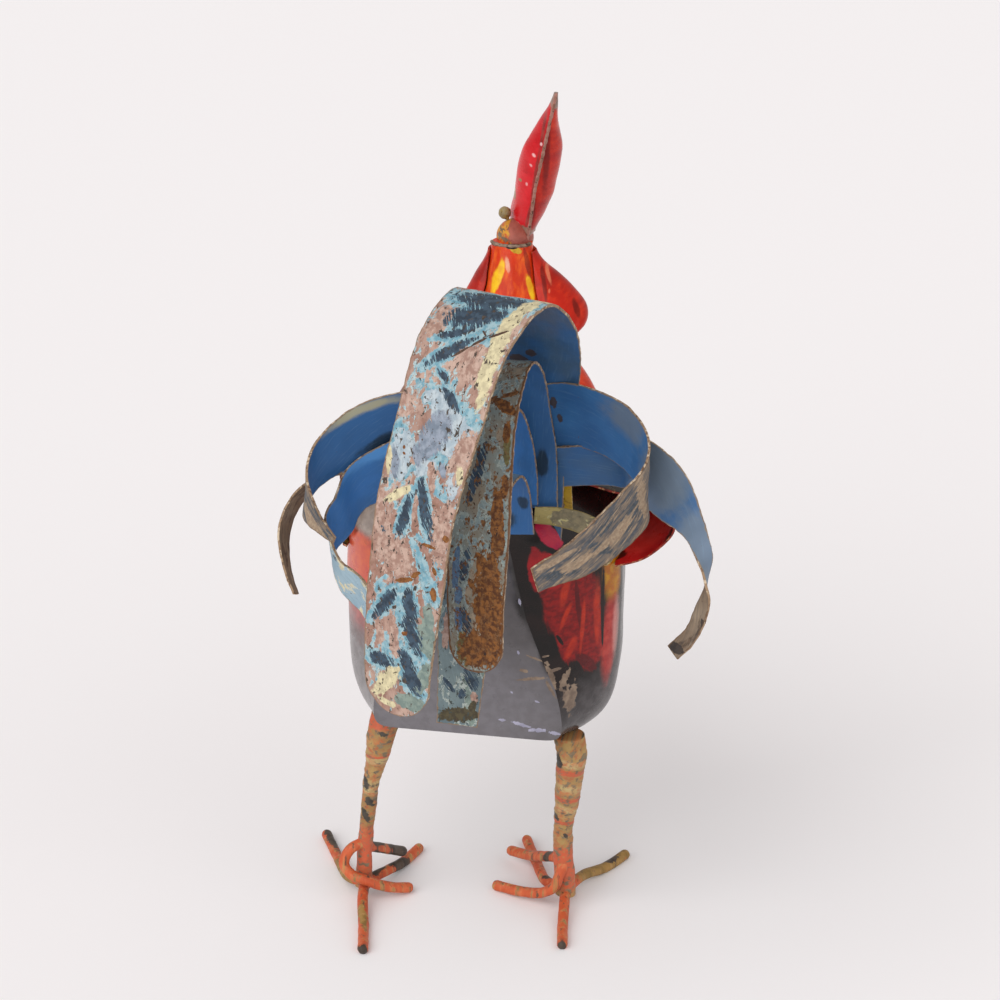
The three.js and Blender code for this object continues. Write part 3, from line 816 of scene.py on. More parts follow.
def flaked_paint(name, ground, coats, specks="#5f4334", rim="#8a7058", rim_width=0.55, brushed=0.2,
                 speckled=0.66):
    """Weathered paint on sheet: coats over a ground, each flaked, with brush marks, specks and a worn rim.

    A coat has its two tones and the size of its flakes, and lies where noise passes its cut, near its spots
    or near the spots of a mask. Pull and ragged set how much the spots and the noise count.
    """
    finish = Finish(name)
    vector = finish.map("Lay")
    shade = finish.noise(vector, 26, 3)
    colour = finish.mix(finish.over(shade, 0.5, 0.12), ground[0], ground[1])
    height = finish.noise(vector, 1.6, 3) * 0.35
    wobble = finish.noise(vector, 3, 5, 0.6)
    for coat in coats:
        size = coat.get("size", 7)
        grain = finish.noise(
            vector, size, coat.get("detail", 7), 0.66, coat.get("stretch", 1.5),
            math.radians(coat.get("turn", 0)) + NO_TURN, 0.4,
        )
        if "spots" in coat or "mask" in coat:
            if "mask" in coat:
                mask, place = coat["mask"]
                near = finish.axis(finish.map(mask), place)
            else:
                near = finish.near(vector, coat["spots"])
            value = near * coat.get("pull", 0.6) + (grain - 0.5) * coat.get("ragged", 1.9)
            cut = coat.get("cut", 0.04)
        else:
            value, cut = grain, coat["cut"]
        if coat.get("streaks"):
            hair = finish.noise(vector, 1.1, 3, 0.7, 14, math.radians(35), 0.2)
            value = value - finish.over(hair, 0.55, 0.05) * coat["streaks"]
        cover = finish.over(value, cut, coat.get("soft", 0.012))
        tone = finish.mix(finish.over(finish.noise(vector, size * 0.8, 4), 0.5, 0.1), *coat["tones"])
        if coat.get("fringe"):
            band = finish.over(value, cut, 0.012) - finish.over(value, cut + 0.035, 0.02)
            tone = finish.mix(band * 0.7, tone, coat["fringe"])
        colour = finish.mix(cover * coat.get("strength", 1.0), colour, tone)
        height = height + cover * coat.get("thick", 0.5)
    strokes = finish.noise(vector, 1.1, 4, 0.7, 22, 0.3)
    colour = finish.mix(finish.over(strokes, 0.5, 0.2) * brushed, colour, "#30343a")
    dots = finish.over(finish.noise(vector, 2.1, 4, 0.65), speckled, 0.02)
    dots = dots * finish.over(finish.noise(vector, 17, 3), 0.44, 0.1)
    colour = finish.mix(dots * 0.85, colour, specks)
    worn = 1 - finish.over(finish.edge() + (wobble - 0.5) * 2.4, rim_width, 0.35)
    colour = finish.mix(worn * 0.9, colour, rim)
    height = height - worn * 0.5 - dots * 0.5
    finish.bump(height, 0.12)
    rough = finish.noise(vector, 4, 3) * 0.25 + 0.48 + worn * 0.2
    return finish.surface(colour, rough)


def worn_rim(name, tones=("#9c8268", "#6b5240"), chips="#c9b69c"):
    """The cut edge of a sheet: brown iron with chipped paint."""
    finish = Finish(name)
    vector = finish.map("Place")
    colour = finish.mix(finish.over(finish.noise(vector, 2.4, 4), 0.56, 0.06), *tones)
    colour = finish.mix(finish.over(finish.noise(vector, 3.5, 3), 0.58, 0.03), colour, chips)
    finish.bump(finish.noise(vector, 1.2, 3), 0.12)
    return finish.surface(colour, 0.7, 0.1)


def blue_inside(name, seed, blue, other, haze=(), haze_tone="#7b8fa0", marks=(), dark=()):
    """The blue inner face of a tail strip, with grey haze, dark patches of painted shade and worn chips."""
    finish = Finish(name)
    vector = finish.map("Lay")
    moved = finish.node("ShaderNodeMapping", {}, {"Vector": vector, "Location": (seed * 37, seed * 11, 0)})
    shifted = moved.outputs[0]
    colour = finish.mix(finish.over(finish.noise(shifted, 24, 4, 0.6, 1.8), 0.5, 0.2), blue, other)
    grain = finish.noise(vector, 9, 5, 0.65, 2)
    # The dark spots are painted shade: a darker blue where the strips shade one another
    for spots, tone, soft, strength in ((haze, haze_tone, 0.35, 0.75), (dark, "#1b2b36", 0.2, 0.85)):
        if spots:
            near = finish.near(vector, spots) + (grain - 0.5) * 1.2
            colour = finish.mix(finish.over(near, 0.3, soft) * strength, colour, tone)
    pale = finish.over(finish.noise(shifted, 1.1, 3, 0.7, 18, 0.2), 0.6, 0.06)
    colour = finish.mix(pale * 0.12, colour, "#86a7c4")
    chips = finish.over(finish.noise(shifted, 3.2, 5, 0.62), 0.7, 0.012)
    colour = finish.mix(chips, colour, "#5e5148")
    height = finish.noise(shifted, 2.2, 4) * 0.5 - chips * 0.6
    if marks:
        near = finish.near(vector, marks) + (finish.noise(vector, 2.5, 5) - 0.5) * 1.1
        mark = finish.over(near, 0.15, 0.1)
        colour = finish.mix(mark * 0.9, colour, "#4e4038")
        height = height - mark * 0.4
    worn = 1 - finish.over(finish.edge() + (finish.noise(vector, 3, 5) - 0.5) * 2.2, 0.5, 0.35)
    colour = finish.mix(worn * 0.85, colour, "#8a7a66")
    finish.bump(height, 0.08)
    rough = finish.noise(shifted, 6, 3) * 0.25 + 0.38 + worn * 0.2
    return finish.surface(colour, rough)


def hand_paint(name, ground, coats, gloss=0.35, coat=0.0, flecks="#1d1512", fleck_cut=0.7, fleck_size=2.4,
               lay="Place", depth=0.08, flat_axes=None, shine=0.3):
    """Glossy brushed paint: strokes of several colours over a ground, then flecks.

    With two flat axes the paint is laid on as seen along the third, and its spots are given on those two.
    """
    finish = Finish(name)
    vector = finish.map(lay)
    if flat_axes:
        parts = finish.node("ShaderNodeSeparateXYZ", {}, {0: vector})
        vector = finish.node(
            "ShaderNodeCombineXYZ", {},
            {place: parts.outputs[axis] for place, axis in enumerate(flat_axes)},
        ).outputs[0]
    colour = finish.mix(finish.over(finish.noise(vector, 18, 4), 0.5, 0.14), *ground)
    height = finish.noise(vector, 2.4, 3) * 0.3
    for layer in coats:
        grain = finish.noise(
            vector, layer.get("size", 7), 5, 0.6, layer.get("stretch", 1.0),
            math.radians(layer.get("turn", 0)) + NO_TURN, 0.3,
        )
        if "spots" in layer:
            value = finish.near(vector, layer["spots"]) + (grain - 0.5) * layer.get("ragged", 0.8)
        else:
            value = grain
        cover = finish.over(value, layer.get("cut", 0.1), layer.get("soft", 0.08))
        shade = finish.noise(vector, layer.get("tone_size", 6), 3)
        tone = finish.mix(finish.over(shade, 0.5, 0.15), *layer["tones"])
        colour = finish.mix(cover * layer.get("strength", 1.0), colour, tone)
        height = height + cover * 0.3
    chips = finish.over(finish.noise(vector, fleck_size, 5, 0.65), fleck_cut, 0.015)
    colour = finish.mix(chips, colour, flecks)
    finish.bump(height - chips * 0.8, depth)
    rough = finish.noise(vector, 7, 3) * 0.2 + (gloss - 0.1) + chips * 0.3
    return finish.surface(colour, rough, 0.0, coat, shine)


def bare_iron(name, tones=("#5d4f45", "#857668"), dark="#3b2a20"):
    """Bare welded iron, brown and grey."""
    finish = Finish(name)
    vector = finish.map("Place")
    colour = finish.mix(finish.over(finish.noise(vector, 4, 4), 0.5, 0.1), *tones)
    colour = finish.mix(finish.over(finish.noise(vector, 2.5, 4), 0.62, 0.03), colour, dark)
    finish.bump(finish.noise(vector, 1.3, 4), 0.3)
    return finish.surface(colour, 0.55, 0.2)


# Body, neck and head

BODY_COLUMNS = [[section[part] for section in BODY_SECTIONS] for part in range(4)]


def body_surface(along, turn, reach):
    """The body from its flat rear plate, along 0, to its breast, along 1."""
    y, low, high, share = (between(column, along) for column in BODY_COLUMNS)
    half = share * BODY_HALF_WIDTH
    corner = 2 / np.where(np.cos(turn) < 0, BODY_FOOT_SQUARENESS, BODY_SQUARENESS)
    rise = power(np.cos(turn), corner)
    level = (rise + 1) / 2
    flare = np.clip((REAR_PLATE_Y - y) / (REAR_PLATE_Y - REAR_PLATE_TAPER_END), 0, 1)
    open_share = np.sin(flare * math.pi / 2)
    places, shares = zip(*REAR_TAPER)
    rear = power(np.sin(turn), 0.12) * REAR_HALF_WIDTH * np.interp(level, places, shares)
    full = half * power(np.sin(turn), corner)
    across = reach * (rear * (1 - open_share) + full * open_share)
    up = (low + high) / 2 + reach * rise * (high - low) / 2
    height = (reach * rise + 1) / 2
    lean = REAR_PLATE_LEAN * height * (1 - flare)
    dent = 0.5 * ripple(across, up, 46, 2) * np.clip((1 - reach) * 4, 0, 1) * (along < 0.5)
    swell = 0.4 * ripple(y, up, 40, 5) * np.clip(flare * 3, 0, 1) * np.sign(across)
    return np.stack([BODY_AXIS_X + across + swell * reach, y + lean - np.abs(dent), up], axis=1)


def neck_at(share):
    """The neck's middle and its two half widths at a share of its height."""
    return [between([ring[part] for ring in NECK_RINGS], share) for part in range(5)]


def neck_surface(along, turn, reach):
    """The rolled neck, from its foot to its top."""
    x, y, z, across, deep = neck_at(along)
    wave = 1 + 0.012 * ripple(turn * 12, along * 90, 30, 4)
    out = reach * wave
    return np.stack([x + out * across * np.sin(turn), y + out * deep * np.cos(turn), z], axis=1)


def flat_sheet(along, over, length, width):
    """Millimetres along and over a sheet, and from its edge."""
    run, side = along * length, over * width
    return run, side, np.minimum(np.minimum(run, length - run), np.minimum(side, width - side))


def hackle_surface(side, flap):
    """A sheet that follows the neck and flares off it on one side."""
    shares = np.linspace(0, 1, 400)
    heights = neck_at(shares)[2]
    start, end = (math.radians(turn) for turn in HACKLE_TURN)

    def surface(along, over):
        height = HACKLE_TOP + (HACKLE_BOTTOM - HACKLE_TOP) * along
        share = np.interp(np.minimum(height, NECK_RINGS[-1][2] - 0.5), heights, shares)
        x, y, _, across, deep = neck_at(share)
        turn = start + (end - start) * over
        bulge = np.sin(math.pi * over) ** 0.6
        flare = (between(flap, along) - across) * bulge
        wave = 0.35 * ripple(along * 55, over * 50, 26, 3 + side)
        clear = GAP + SHEET / 2
        reach_across = across + clear + flare + wave * bulge
        reach_deep = deep + clear + flare * 0.55
        x, y = x + side * reach_across * np.sin(turn), y + reach_deep * np.cos(turn)
        return np.stack([x, y, height], axis=1), *flat_sheet(along, over, *HACKLE_LAY)

    return surface


def head_point(aside, ahead, up):
    """Places given beside, ahead of and above the middle of the head."""
    turn = math.radians(HEAD_TURN)
    x = aside * math.cos(turn) + ahead * math.sin(turn)
    y = aside * math.sin(turn) - ahead * math.cos(turn)
    return np.stack([HEAD_CENTRE[0] + x, HEAD_CENTRE[1] + y, HEAD_CENTRE[2] + up + 0 * x], axis=1)


def head_surface(along, turn, reach):
    """The rounded head."""
    polar = along * math.pi
    wave = 1 + 0.01 * ripple(turn * 6, polar * 9, 9, 1)
    return head_point(
        HEAD_RADII[0] * np.sin(polar) * np.sin(turn) * wave,
        HEAD_RADII[1] * np.sin(polar) * np.cos(turn) * wave,
        HEAD_RADII[2] * np.cos(polar),
    )


def eye_surface(side, aside, ahead, up):
    """A ball eye."""
    place = head_point(np.array([side * aside]), np.array([ahead]), np.array([up]))[0]

    def surface(along, turn, reach):
        polar = along * math.pi
        radius = EYE_RADIUS * (1 - 0.03 + 0.03 * ripple(turn * 3, polar * 4, 3, 6))
        ball = np.stack([np.sin(polar) * np.sin(turn), np.sin(polar) * np.cos(turn), np.cos(polar)], axis=1)
        return place + ball * radius[:, None]

    return surface


def beak_surface(up):
    """The upper half of the beak where up is 1, and the lower half where it is -1."""
    def surface(along, turn, reach):
        radius = BEAK_RADIUS * np.maximum(1 - along, 0) ** 0.7 * (1 if up > 0 else 0.85) + 0.5
        length = BEAK_LENGTH * (1 if up > 0 else 0.86)
        drop = -5 * along ** 2 if up > 0 else -3 * along
        height = np.maximum(0, np.cos(turn)) * radius * reach
        start = HEAD_RADII[1] - 5
        rise = -1 + drop + up * (0.15 + height)
        return head_point(reach * radius * np.sin(turn), start + along * length, rise)

    return surface


def wattle_surface(side):
    """A flat wattle under the head."""
    def surface(along, turn, reach):
        shape = np.abs(np.sin(math.pi * np.minimum(1, 0.12 + along * 0.88))) ** 0.6 + 0.06
        ahead = WATTLE_AHEAD + reach * WATTLE_WIDTH / 2 * shape * np.cos(turn)
        aside = side * (4.5 + 3 * along) + reach * 1.6 * shape * np.sin(turn)
        return head_point(aside, ahead, -7 - along * WATTLE_DROP)

    return surface


def comb_surface(along, turn, reach):
    """The leaf of the comb: two domed halves that meet at the seam."""
    seam = through(COMB_SEAM, along)
    scallop = COMB_POINT_DEPTH * np.abs(np.sin(COMB_POINTS * math.pi * along)) * (1 - along)
    depth = between(COMB_DEPTH, along) + scallop
    share = (1 - np.cos(turn)) / 2
    bulge = COMB_BULGE * share ** 0.62 * np.abs(1 - share) ** 0.5 + 0.05 * np.abs(np.sin(turn))
    left, right = (between(COMB_HALF_THICKNESS[side], along) for side in ("left", "right"))
    thickness = np.where(np.sin(turn) > 0, left, right)
    half = thickness * np.sign(np.sin(turn)) * np.abs(np.sin(turn)) ** 0.2 * bulge
    aside = reach * half
    back = -depth * (share * reach + 0.5 * (1 - reach))
    lean = math.radians(COMB_TURN)
    x = aside * math.cos(lean) - back * math.sin(lean)
    y = aside * math.sin(lean) + back * math.cos(lean)
    dent = 0.22 * ripple(along * 100, turn * 12, 17, 8) * np.sin(turn)
    return seam + np.stack([x + dent * reach, y, 0 * x], axis=1)


def wing_surface(side, flare):
    """A cupped wing sheet. Flare 1 spreads it as on the right side, and 0 lays it flat on the body."""
    body_side = BODY_AXIS_X - BODY_HALF_WIDTH

    def surface(along, over):
        front, rear = through(WING_FRONT_ARC, over), through(WING_REAR_ARC, over)
        points = front + (rear - front) * along[:, None]
        points[:, 0] -= WING_BULGE * np.sin(math.pi * along) * np.sin(math.pi * over)
        outside = points[:, 0] < body_side
        points[outside, 0] = body_side + (points[outside, 0] - body_side) * flare
        points[:, 0] -= 0.3 * ripple(points[:, 1], over * 90, 22, 7 + side) * np.clip(along * 4, 0, 1)
        if side > 0:
            points[:, 0] = 2 * BODY_AXIS_X - points[:, 0]
        return points, *flat_sheet(along, over, *WING_LAY)

    return surface


def leg_surface(line, half_widths, seed):
    """A shank with lumps of weld and paint on it."""
    def surface(along, turn, reach):
        run, round_it = along * 140, turn * 6
        lumps = 0.35 * ripple(run, round_it, 13, seed) + 0.18 * ripple(run, round_it, 5, seed + 1)
        half = between(half_widths, along) + lumps * np.clip(along * 6, 0, 1)
        points = through(line, along)
        points[:, 0] += reach * half * np.sin(turn)
        points[:, 1] += reach * half * 0.9 * np.cos(turn)
        return points

    return surface


# Where each paint of this bird lies, on a sheet's lay or on the bird seen from one side, in millimetres.
# A spot is its middle's two numbers, its half length and half width, and its turn in degrees.
MAIN_SLATE = [
    (222, 1, 20.8, 7.8, -96), (238, 3, 17.1, 8, -114), (252, 7, 10.7, 2.8, -116), (262, 5, 14.6, 3.1, -132),
    (276, 5, 4.8, 1.7, -52), (288, -4, 7.7, 3, -56), (346, -5, 16.7, 3.2, -23), (355, 6, 12.1, 3.1, 10),
    (366, 17, 2.5, 1, -46), (406, 11, 11.1, 3.4, -148), (404, -5, 9.4, 3.7, -20), (419, -8, 12.2, 4.7, -27),
    (439, 9, 8.1, 3.7, -85), (443, -8, 14.6, 4.7, -23),
]
MAIN_LILAC = [
    (308, 0, 16, 8.8, -164), (322, 7, 6.7, 2.5, -35), (329, 19, 9.4, 3.1, -17), (324, -11, 4.9, 2.5, -34),
]
MAIN_CREAM = [
    (196, -24, 16, 7, 10), (206, -22, 8, 5, -30), (232, -20, 22, 5, 8), (262, -21, 26, 5, 0),
    (329, 23, 9.2, 1.9, -14),
    (324, -22, 5.6, 2.5, -18), (345, 13, 9.3, 2.6, -129), (451, 7, 13, 4.9, -140), (464, 7, 6.1, 2.1, 102),
]
MAIN_SKY = [
    (226, 15, 14.8, 7.5, -151), (234, -13, 17.1, 6.7, -154), (252, -15, 10.3, 3.5, -154),
    (292, -5, 24.6, 8.9, -70), (322, 18, 19.4, 8.7, -19), (301, -9, 7.2, 5.3, -147),
    (320, -4, 11.3, 4.8, -92), (335, -11, 11.2, 4.3, -57), (370, -3, 7.9, 2.5, -42),
    (380, -10, 10.8, 4, -30), (392, -16, 9.5, 5.3, -31), (411, 1, 17, 3.3, -6), (430, 8, 8.3, 5.4, -3),
    (396, 15, 7.9, 2.9, 32), (364, -5, 4.2, 1.9, -69), (377, -19, 7.5, 3.3, -18), (442, 0, 6.5, 1.9, -19),
]
MAIN_WHITE = [
    (295, -3, 21.7, 7.3, -62), (323, 17, 16.5, 6.9, -5), (311, -9, 10.1, 4.8, -78), (326, 0, 7.4, 4, -131),
    (330, -19, 11.7, 3.6, -15),
]
MAIN_PINK = [
    (246, 20, 11.3, 6.8, -167), (270, -14, 14, 7.5, -54), (259, -12, 15.2, 3.4, -99),
    (313, -20, 15.8, 7.1, 11), (331, -6, 9.9, 2.5, -17), (369, 18, 21.4, 7.7, -18), (379, 5, 14.2, 8.1, -8),
    (358, -19, 21.4, 7.3, -3), (426, 3, 14.8, 3.4, -12), (423, 13, 9.9, 3.1, -11),
    (428, 11, 3.7, 2.3, -107), (410, -11, 2.3, 2, -106), (348, 0, 7.5, 2.5, 1),
]
MAIN_BROWN = [
    (372, 0, 34, 26, 0), (350, -12, 22, 12, 0), (402, 18, 34, 7, 0),
]
MAIN_RUST = [
    (390, 1, 6.1, 1.6, -110), (385, -6, 3.8, 1.6, -128), (360, -22, 2.5, 2.1, -60),
    (367, -12, 4.4, 1.2, -86), (380, -17, 2.8, 1.3, -33), (393, -18, 3.9, 2.1, -19),
    (420, -3, 2.1, 1.5, -108), (320, 16, 1.3, 1, -20), (323, 15, 1.2, 0.8, -67),
]
MAIN_CRACK = [
    (207, -15, 10, 0.8, 52), (247, -17, 6.7, 1.1, 51), (254, -9, 5.9, 1.1, 40), (262, -1, 7.6, 0.9, 48),
    (248, -9, 3.5, 0.7, 129),
]
MAIN_GREEN = [
    (421, -18, 15.8, 5.6, -19), (445, -16, 12.9, 4.7, -153), (461, -8, 11.4, 5.3, -87),
    (406, -17, 7.5, 3.3, -21),
]
SECOND_SLATE = [
    (209, 3, 19.2, 3.4, 12), (263, 7, 11.1, 2.9, 8), (295, 6, 8.5, 3.8, -18),
]
SECOND_BLUE = [
    (266, 12, 13.4, 2.3, 3), (295, 10, 8.1, 2.2, -5), (281, 10, 5.3, 2.4, 4),
]
SECOND_RUST = [
    (172, -6, 8.8, 3.4, -62), (186, -11, 6.2, 2.3, -5), (216, -13, 7, 2, -2), (246, -12, 8.8, 3.3, -1),
    (258, -3, 5.5, 2.4, -53), (263, -10, 9.2, 3.5, -12), (286, -8, 34, 9, -4), (311, -2, 12, 12, 0),
    (236, -10, 22, 4, 0),
    (313, -7, 8.1, 6.1, -46), (285, -2, 5.1, 1.9, -35), (273, 3, 3.6, 1.3, -17), (165, -8, 5.8, 1.4, -118),
]
SECOND_OLIVE = [
    (192, -12, 11.6, 2.2, -4), (312, 6, 10, 5.6, -3), (197, -12, 8.6, 1.7, -4),
]
SECOND_TAN = [
    (285, -1, 26.9, 6, -1), (280, 3, 6.7, 3.7, -2), (145, -10, 6.4, 3.1, -135), (189, -8, 6.4, 2.3, -20),
]
THIRD_BLUE = [
    (220, 7, 8.5, 2.2, 5),
]
THIRD_PINK = [
    (240, 10, 12.1, 2.4, 2), (279, -9, 3.8, 2.1, -13), (240, 11, 2.6, 1.9, -69),
]
THIRD_SLATE = [
    (267, -6, 7.4, 3.9, -34), (277, -2, 4.2, 2.3, 15), (273, 7, 5.6, 1.9, -38),
]
THIRD_OLIVE = [
    (292, 0, 12.2, 4.8, -98), (286, -8, 4.7, 2.3, 2),
]
PANEL_MAGENTA = [
    (62, 275, 11.7, 5.1, -101),
]
PANEL_DROP = [
    (71, 256, 18, 5, -87), (66, 254, 16, 6, -98),
]
PANEL_FEATHER = [
    (58, 230, 34, 15, -88), (50, 205, 26, 11, -88), (62, 215, 26, 8, -86),
]
PANEL_STREAK = [
    (61, 237, 9.7, 2.1, -78), (62, 222, 8.6, 1.4, -64), (44, 218, 21.9, 2.6, -86),
    (54, 213, 17.2, 1.3, -80), (62, 201, 7.3, 2.6, -61),
]
PANEL_DARKRED = [
    (54, 188, 12.7, 4, -128), (55, 225, 23.5, 1.6, -90),
]
PANEL_LINE = [
    (40, 218, 29.2, 1.3, -86), (67, 208, 4.5, 1, -105),
]
PANEL_OCHRE = [
    (30, 240, 22, 9, -86),
]
PANEL_PINK = [
    (35, 196, 30, 8, -82),
]
PANEL_GLARE = [
    (28, 201, 21.3, 4.4, -86),
]
PANEL_CHIP = [
    (77, 188, 10.8, 2.2, -90), (74, 191, 4.8, 1.2, 3), (70, 183, 9.6, 2.4, -46), (67, 169, 12.1, 3.2, -74),
    (70, 170, 10.4, 5, -85), (76, 201, 2.9, 0.7, 9),
]
PLATE_CHIP = [
    (-42, 191, 3.3, 1.4, -174), (-47, 186, 10.4, 1.3, 170), (-49, 200, 6.7, 0.9, -162),
    (-58, 180, 7.8, 1.3, -119),
]
PLATE_SCUFF = [
    (-40, 153, 6.9, 1.4, -167), (-50, 150, 6.4, 1.8, 179), (-60, 149, 4.5, 1.4, -179),
    (-66, 164, 3, 0.7, -102), (-28, 155, 2.6, 1.1, -173), (-39, 238, 2.6, 0.9, -100),
    (-37, 257, 1.7, 0.7, -106), (-38, 203, 1.7, 0.7, -106), (-34, 175, 1.1, 0.7, -133),
    (-50, 170, 2.4, 0.7, -162),
]
PLATE_BLACK = [
    (-43, 243, 38.9, 6.2, -105), (-55, 202, 13.4, 4.3, -101), (-42, 233, 12.7, 5.3, -113),
]
COMB_CHIP = [
    (-3, 455, 8, 2.2, -85), (-7, 443, 1.5, 1.2, 0), (-2, 432, 5, 1.6, -88),
]
COMB_TIP = [(-31, 502, 6, 10, 0)]
COMB_BASE = [
    (-8, 409, 10, 5, 166),
]
# Painted highlights: pale pink glints on the comb's glossy red
COMB_PAINTED_HIGHLIGHT = [
    (-22, 470, 1.2, 0.9, -91), (-17, 462, 1.5, 1.1, -145), (-12, 442, 1.2, 0.9, -91),
    (-15, 455, 1.2, 0.8, -147), (-6, 412, 2.7, 2, -133),
]
# Painted shade: dark red bands beside the seam on the comb's right half
COMB_PAINTED_SHADE = [
    (-25, 459, 23.2, 2, -85), (-16, 424, 10.9, 1.9, -82),
]
COMB_LINE = [
    (-23, 478, 13.1, 1.2, -82), (-18, 448, 19.7, 1.2, -81), (-13, 420, 11.2, 1.1, -77),
]
NECK_YELLOW = [
    (3, 386, 12.9, 3.4, -72), (2, 388, 5.7, 2.7, -82), (-18, 380, 9, 1.6, -108),
]
NECK_PALE = [
    (-3, 394, 5.2, 1.6, -105),
]
NECK_OCHRE = [
    (-7, 403, 5.4, 2.2, -156),
]
NECK_HOLE = [
    (-5, 404, 4.2, 1, 180),
]
NECK_DARK = [
    (-15, 394, 11.7, 1.3, -106),
]
# Painted highlight: a pale orange glint on the right flap
FLAP_PAINTED_HIGHLIGHT = [
    (-28, 387, 6.6, 1, -115), (-30, 378, 1.3, 0.7, -98),
]
# Painted shade: dark red on the right flap
FLAP_PAINTED_SHADE = [
    (-26, 383, 11.8, 1.5, -105), (-48, 368, 5.9, 1.6, -120),
]
TAN_LIGHT = [
    (206, 6, 13.3, 2.1, 176), (190, -2, 16.7, 3.5, -177), (165, -3, 16.1, 4, 175), (138, 3, 16, 4.8, -83),
]
TAN_SLATE = [
    (204, -4, 11.7, 2.6, -163), (177, -3, 11.9, 2.8, -129), (166, 7, 12, 3.4, 168),
    (148, 0, 12.6, 4.4, 164),
]
BROWN_DARK = [
    (227, 1, 6.2, 3.2, -119), (206, -4, 3.3, 1.2, -36),
]
WING_RED = [
    (63, 74, 24.8, 17, -112), (69, 84, 9.5, 5.5, -142),
]
WING_MAROON = [
    (77, 95, 7, 5, -109), (90, 58, 10, 7, -55),
]
LEG_BAND = [
    (-66, 141, 20, 2.2, 4), (-66, 115, 20, 2.8, 4), (-65, 91, 20, 2, 4), (-64, 69, 20, 2, 4),
    (-63, 30, 20, 19, 0), (52, 156, 20, 6, 0), (52, 139, 20, 4.5, -2), (53, 115, 20, 1.2, -2),
    (64, 34, 20, 22, 0),
]
LEG_CREAM = [
    (-70, 122, 10.7, 3.5, -165), (-68, 101, 10, 3.7, -163), (-65, 82, 9.8, 3.7, -156), (54, 112, 16, 4, 0),
    (58, 88, 16, 7, 0),
]
LEG_DARK = [
    (-62, 123, 5.1, 2.9, -98), (-74, 137, 3.2, 1, -161), (-64, 57, 3.2, 1.4, -107), (63, 91, 6.5, 2.5, -96),
    (65, 64, 6.5, 2.4, -105), (49, 133, 3.2, 1.4, -167), (-58, 74, 4, 2, 60), (62, 76, 5, 2.5, 70),
]

TOE_OCHRE = [(-80, -2, 40, 9, 58), (84, 36, 20, 8, -60), (62, 84, 14, 3, -72)]
TOE_DARK = [
    (54, 120, 7, 6, 0), (-69, 93, 5, 5, 0), (104, -6, 20, 4, -62), (52, 20, 12, 5, 60), (63, 40, 10, 3, 60),
    (-86, -12, 7, 4, 58), (-50, 24, 5, 3, 0),
]

PINK = ("#c2a596", "#a17f71")
PINK_LOW = ("#a07a6c", "#8a6556")
SKY = ("#9cbac2", "#6f9fb0")
WHITE = ("#b9c5cb", "#a3b3bd")
CREAM = ("#ddd2aa", "#c6bb98")
SLATE = ("#2b3947", "#3f5263")
LILAC = ("#949ead", "#758190")
RUST = ("#75461f", "#93602e")
OLIVE = ("#7d7448", "#655c36")
TAN = ("#a3927c", "#8b8474")
GREEN = ("#8b9a90", "#74857f")
PALE_FRINGE = "#cfd6d0"

# The main sickle has so many spots that they are worked out on its mesh, two lists to a map
MAIN_MASKS = {
    "Paint 1": (MAIN_SKY, MAIN_WHITE),
    "Paint 2": (MAIN_GREEN, MAIN_PINK),
    "Paint 3": (MAIN_LILAC, MAIN_SLATE),
    "Paint 4": (MAIN_CREAM, []),
}


def main_outside():
    """The flaked pink, pale blue and slate face of the main sickle."""
    return flaked_paint("main sickle outside", PINK, [
        dict(tones=PINK_LOW, size=7, cut=0.53, soft=0.05, thick=0.1, strength=0.75),
        dict(tones=("#a27a6c", "#8a6452"), size=4, spots=MAIN_BROWN, pull=0.6, ragged=1.4, soft=0.15,
             thick=0.1, strength=0.75),
        dict(tones=SKY, size=5, cut=0.555, fringe=PALE_FRINGE, stretch=1.8, thick=0.7),
        dict(tones=SKY, size=5, mask=("Paint 3", 1), pull=0.8, cut=-0.5, fringe=PALE_FRINGE, thick=0.4),
        dict(tones=SKY, size=5, mask=("Paint 1", 0), pull=0.9, fringe=PALE_FRINGE, thick=0.7),
        dict(tones=WHITE, size=6, mask=("Paint 1", 1), pull=0.8, thick=0.6),
        dict(tones=GREEN, size=6, mask=("Paint 2", 0), pull=0.9, ragged=1.5, thick=0.5),
        dict(tones=PINK, size=5, mask=("Paint 2", 1), pull=0.6, thick=0.3),
        dict(tones=LILAC, size=8, mask=("Paint 3", 0), pull=1.2, ragged=1.2, soft=0.12, streaks=0.3),
        dict(tones=SLATE, size=5, mask=("Paint 3", 1), pull=1.0, cut=-0.1, ragged=1.8, streaks=0.4,
             fringe="#8fb4c2", thick=0.5),
        dict(tones=CREAM, size=5, mask=("Paint 4", 0), pull=0.9, ragged=1.7, soft=0.08),
        dict(tones=("#54483f", "#42382f"), size=3, cut=0.6, detail=7, thick=-0.3),
        dict(tones=RUST, size=3, spots=MAIN_RUST, pull=1.0, ragged=1.4, cut=0.1, thick=-0.4),
        dict(tones=("#5d4433", "#4a372c"), size=2, spots=MAIN_CRACK, ragged=0.5, cut=0.1, thick=-0.8),
    ], brushed=0.12)


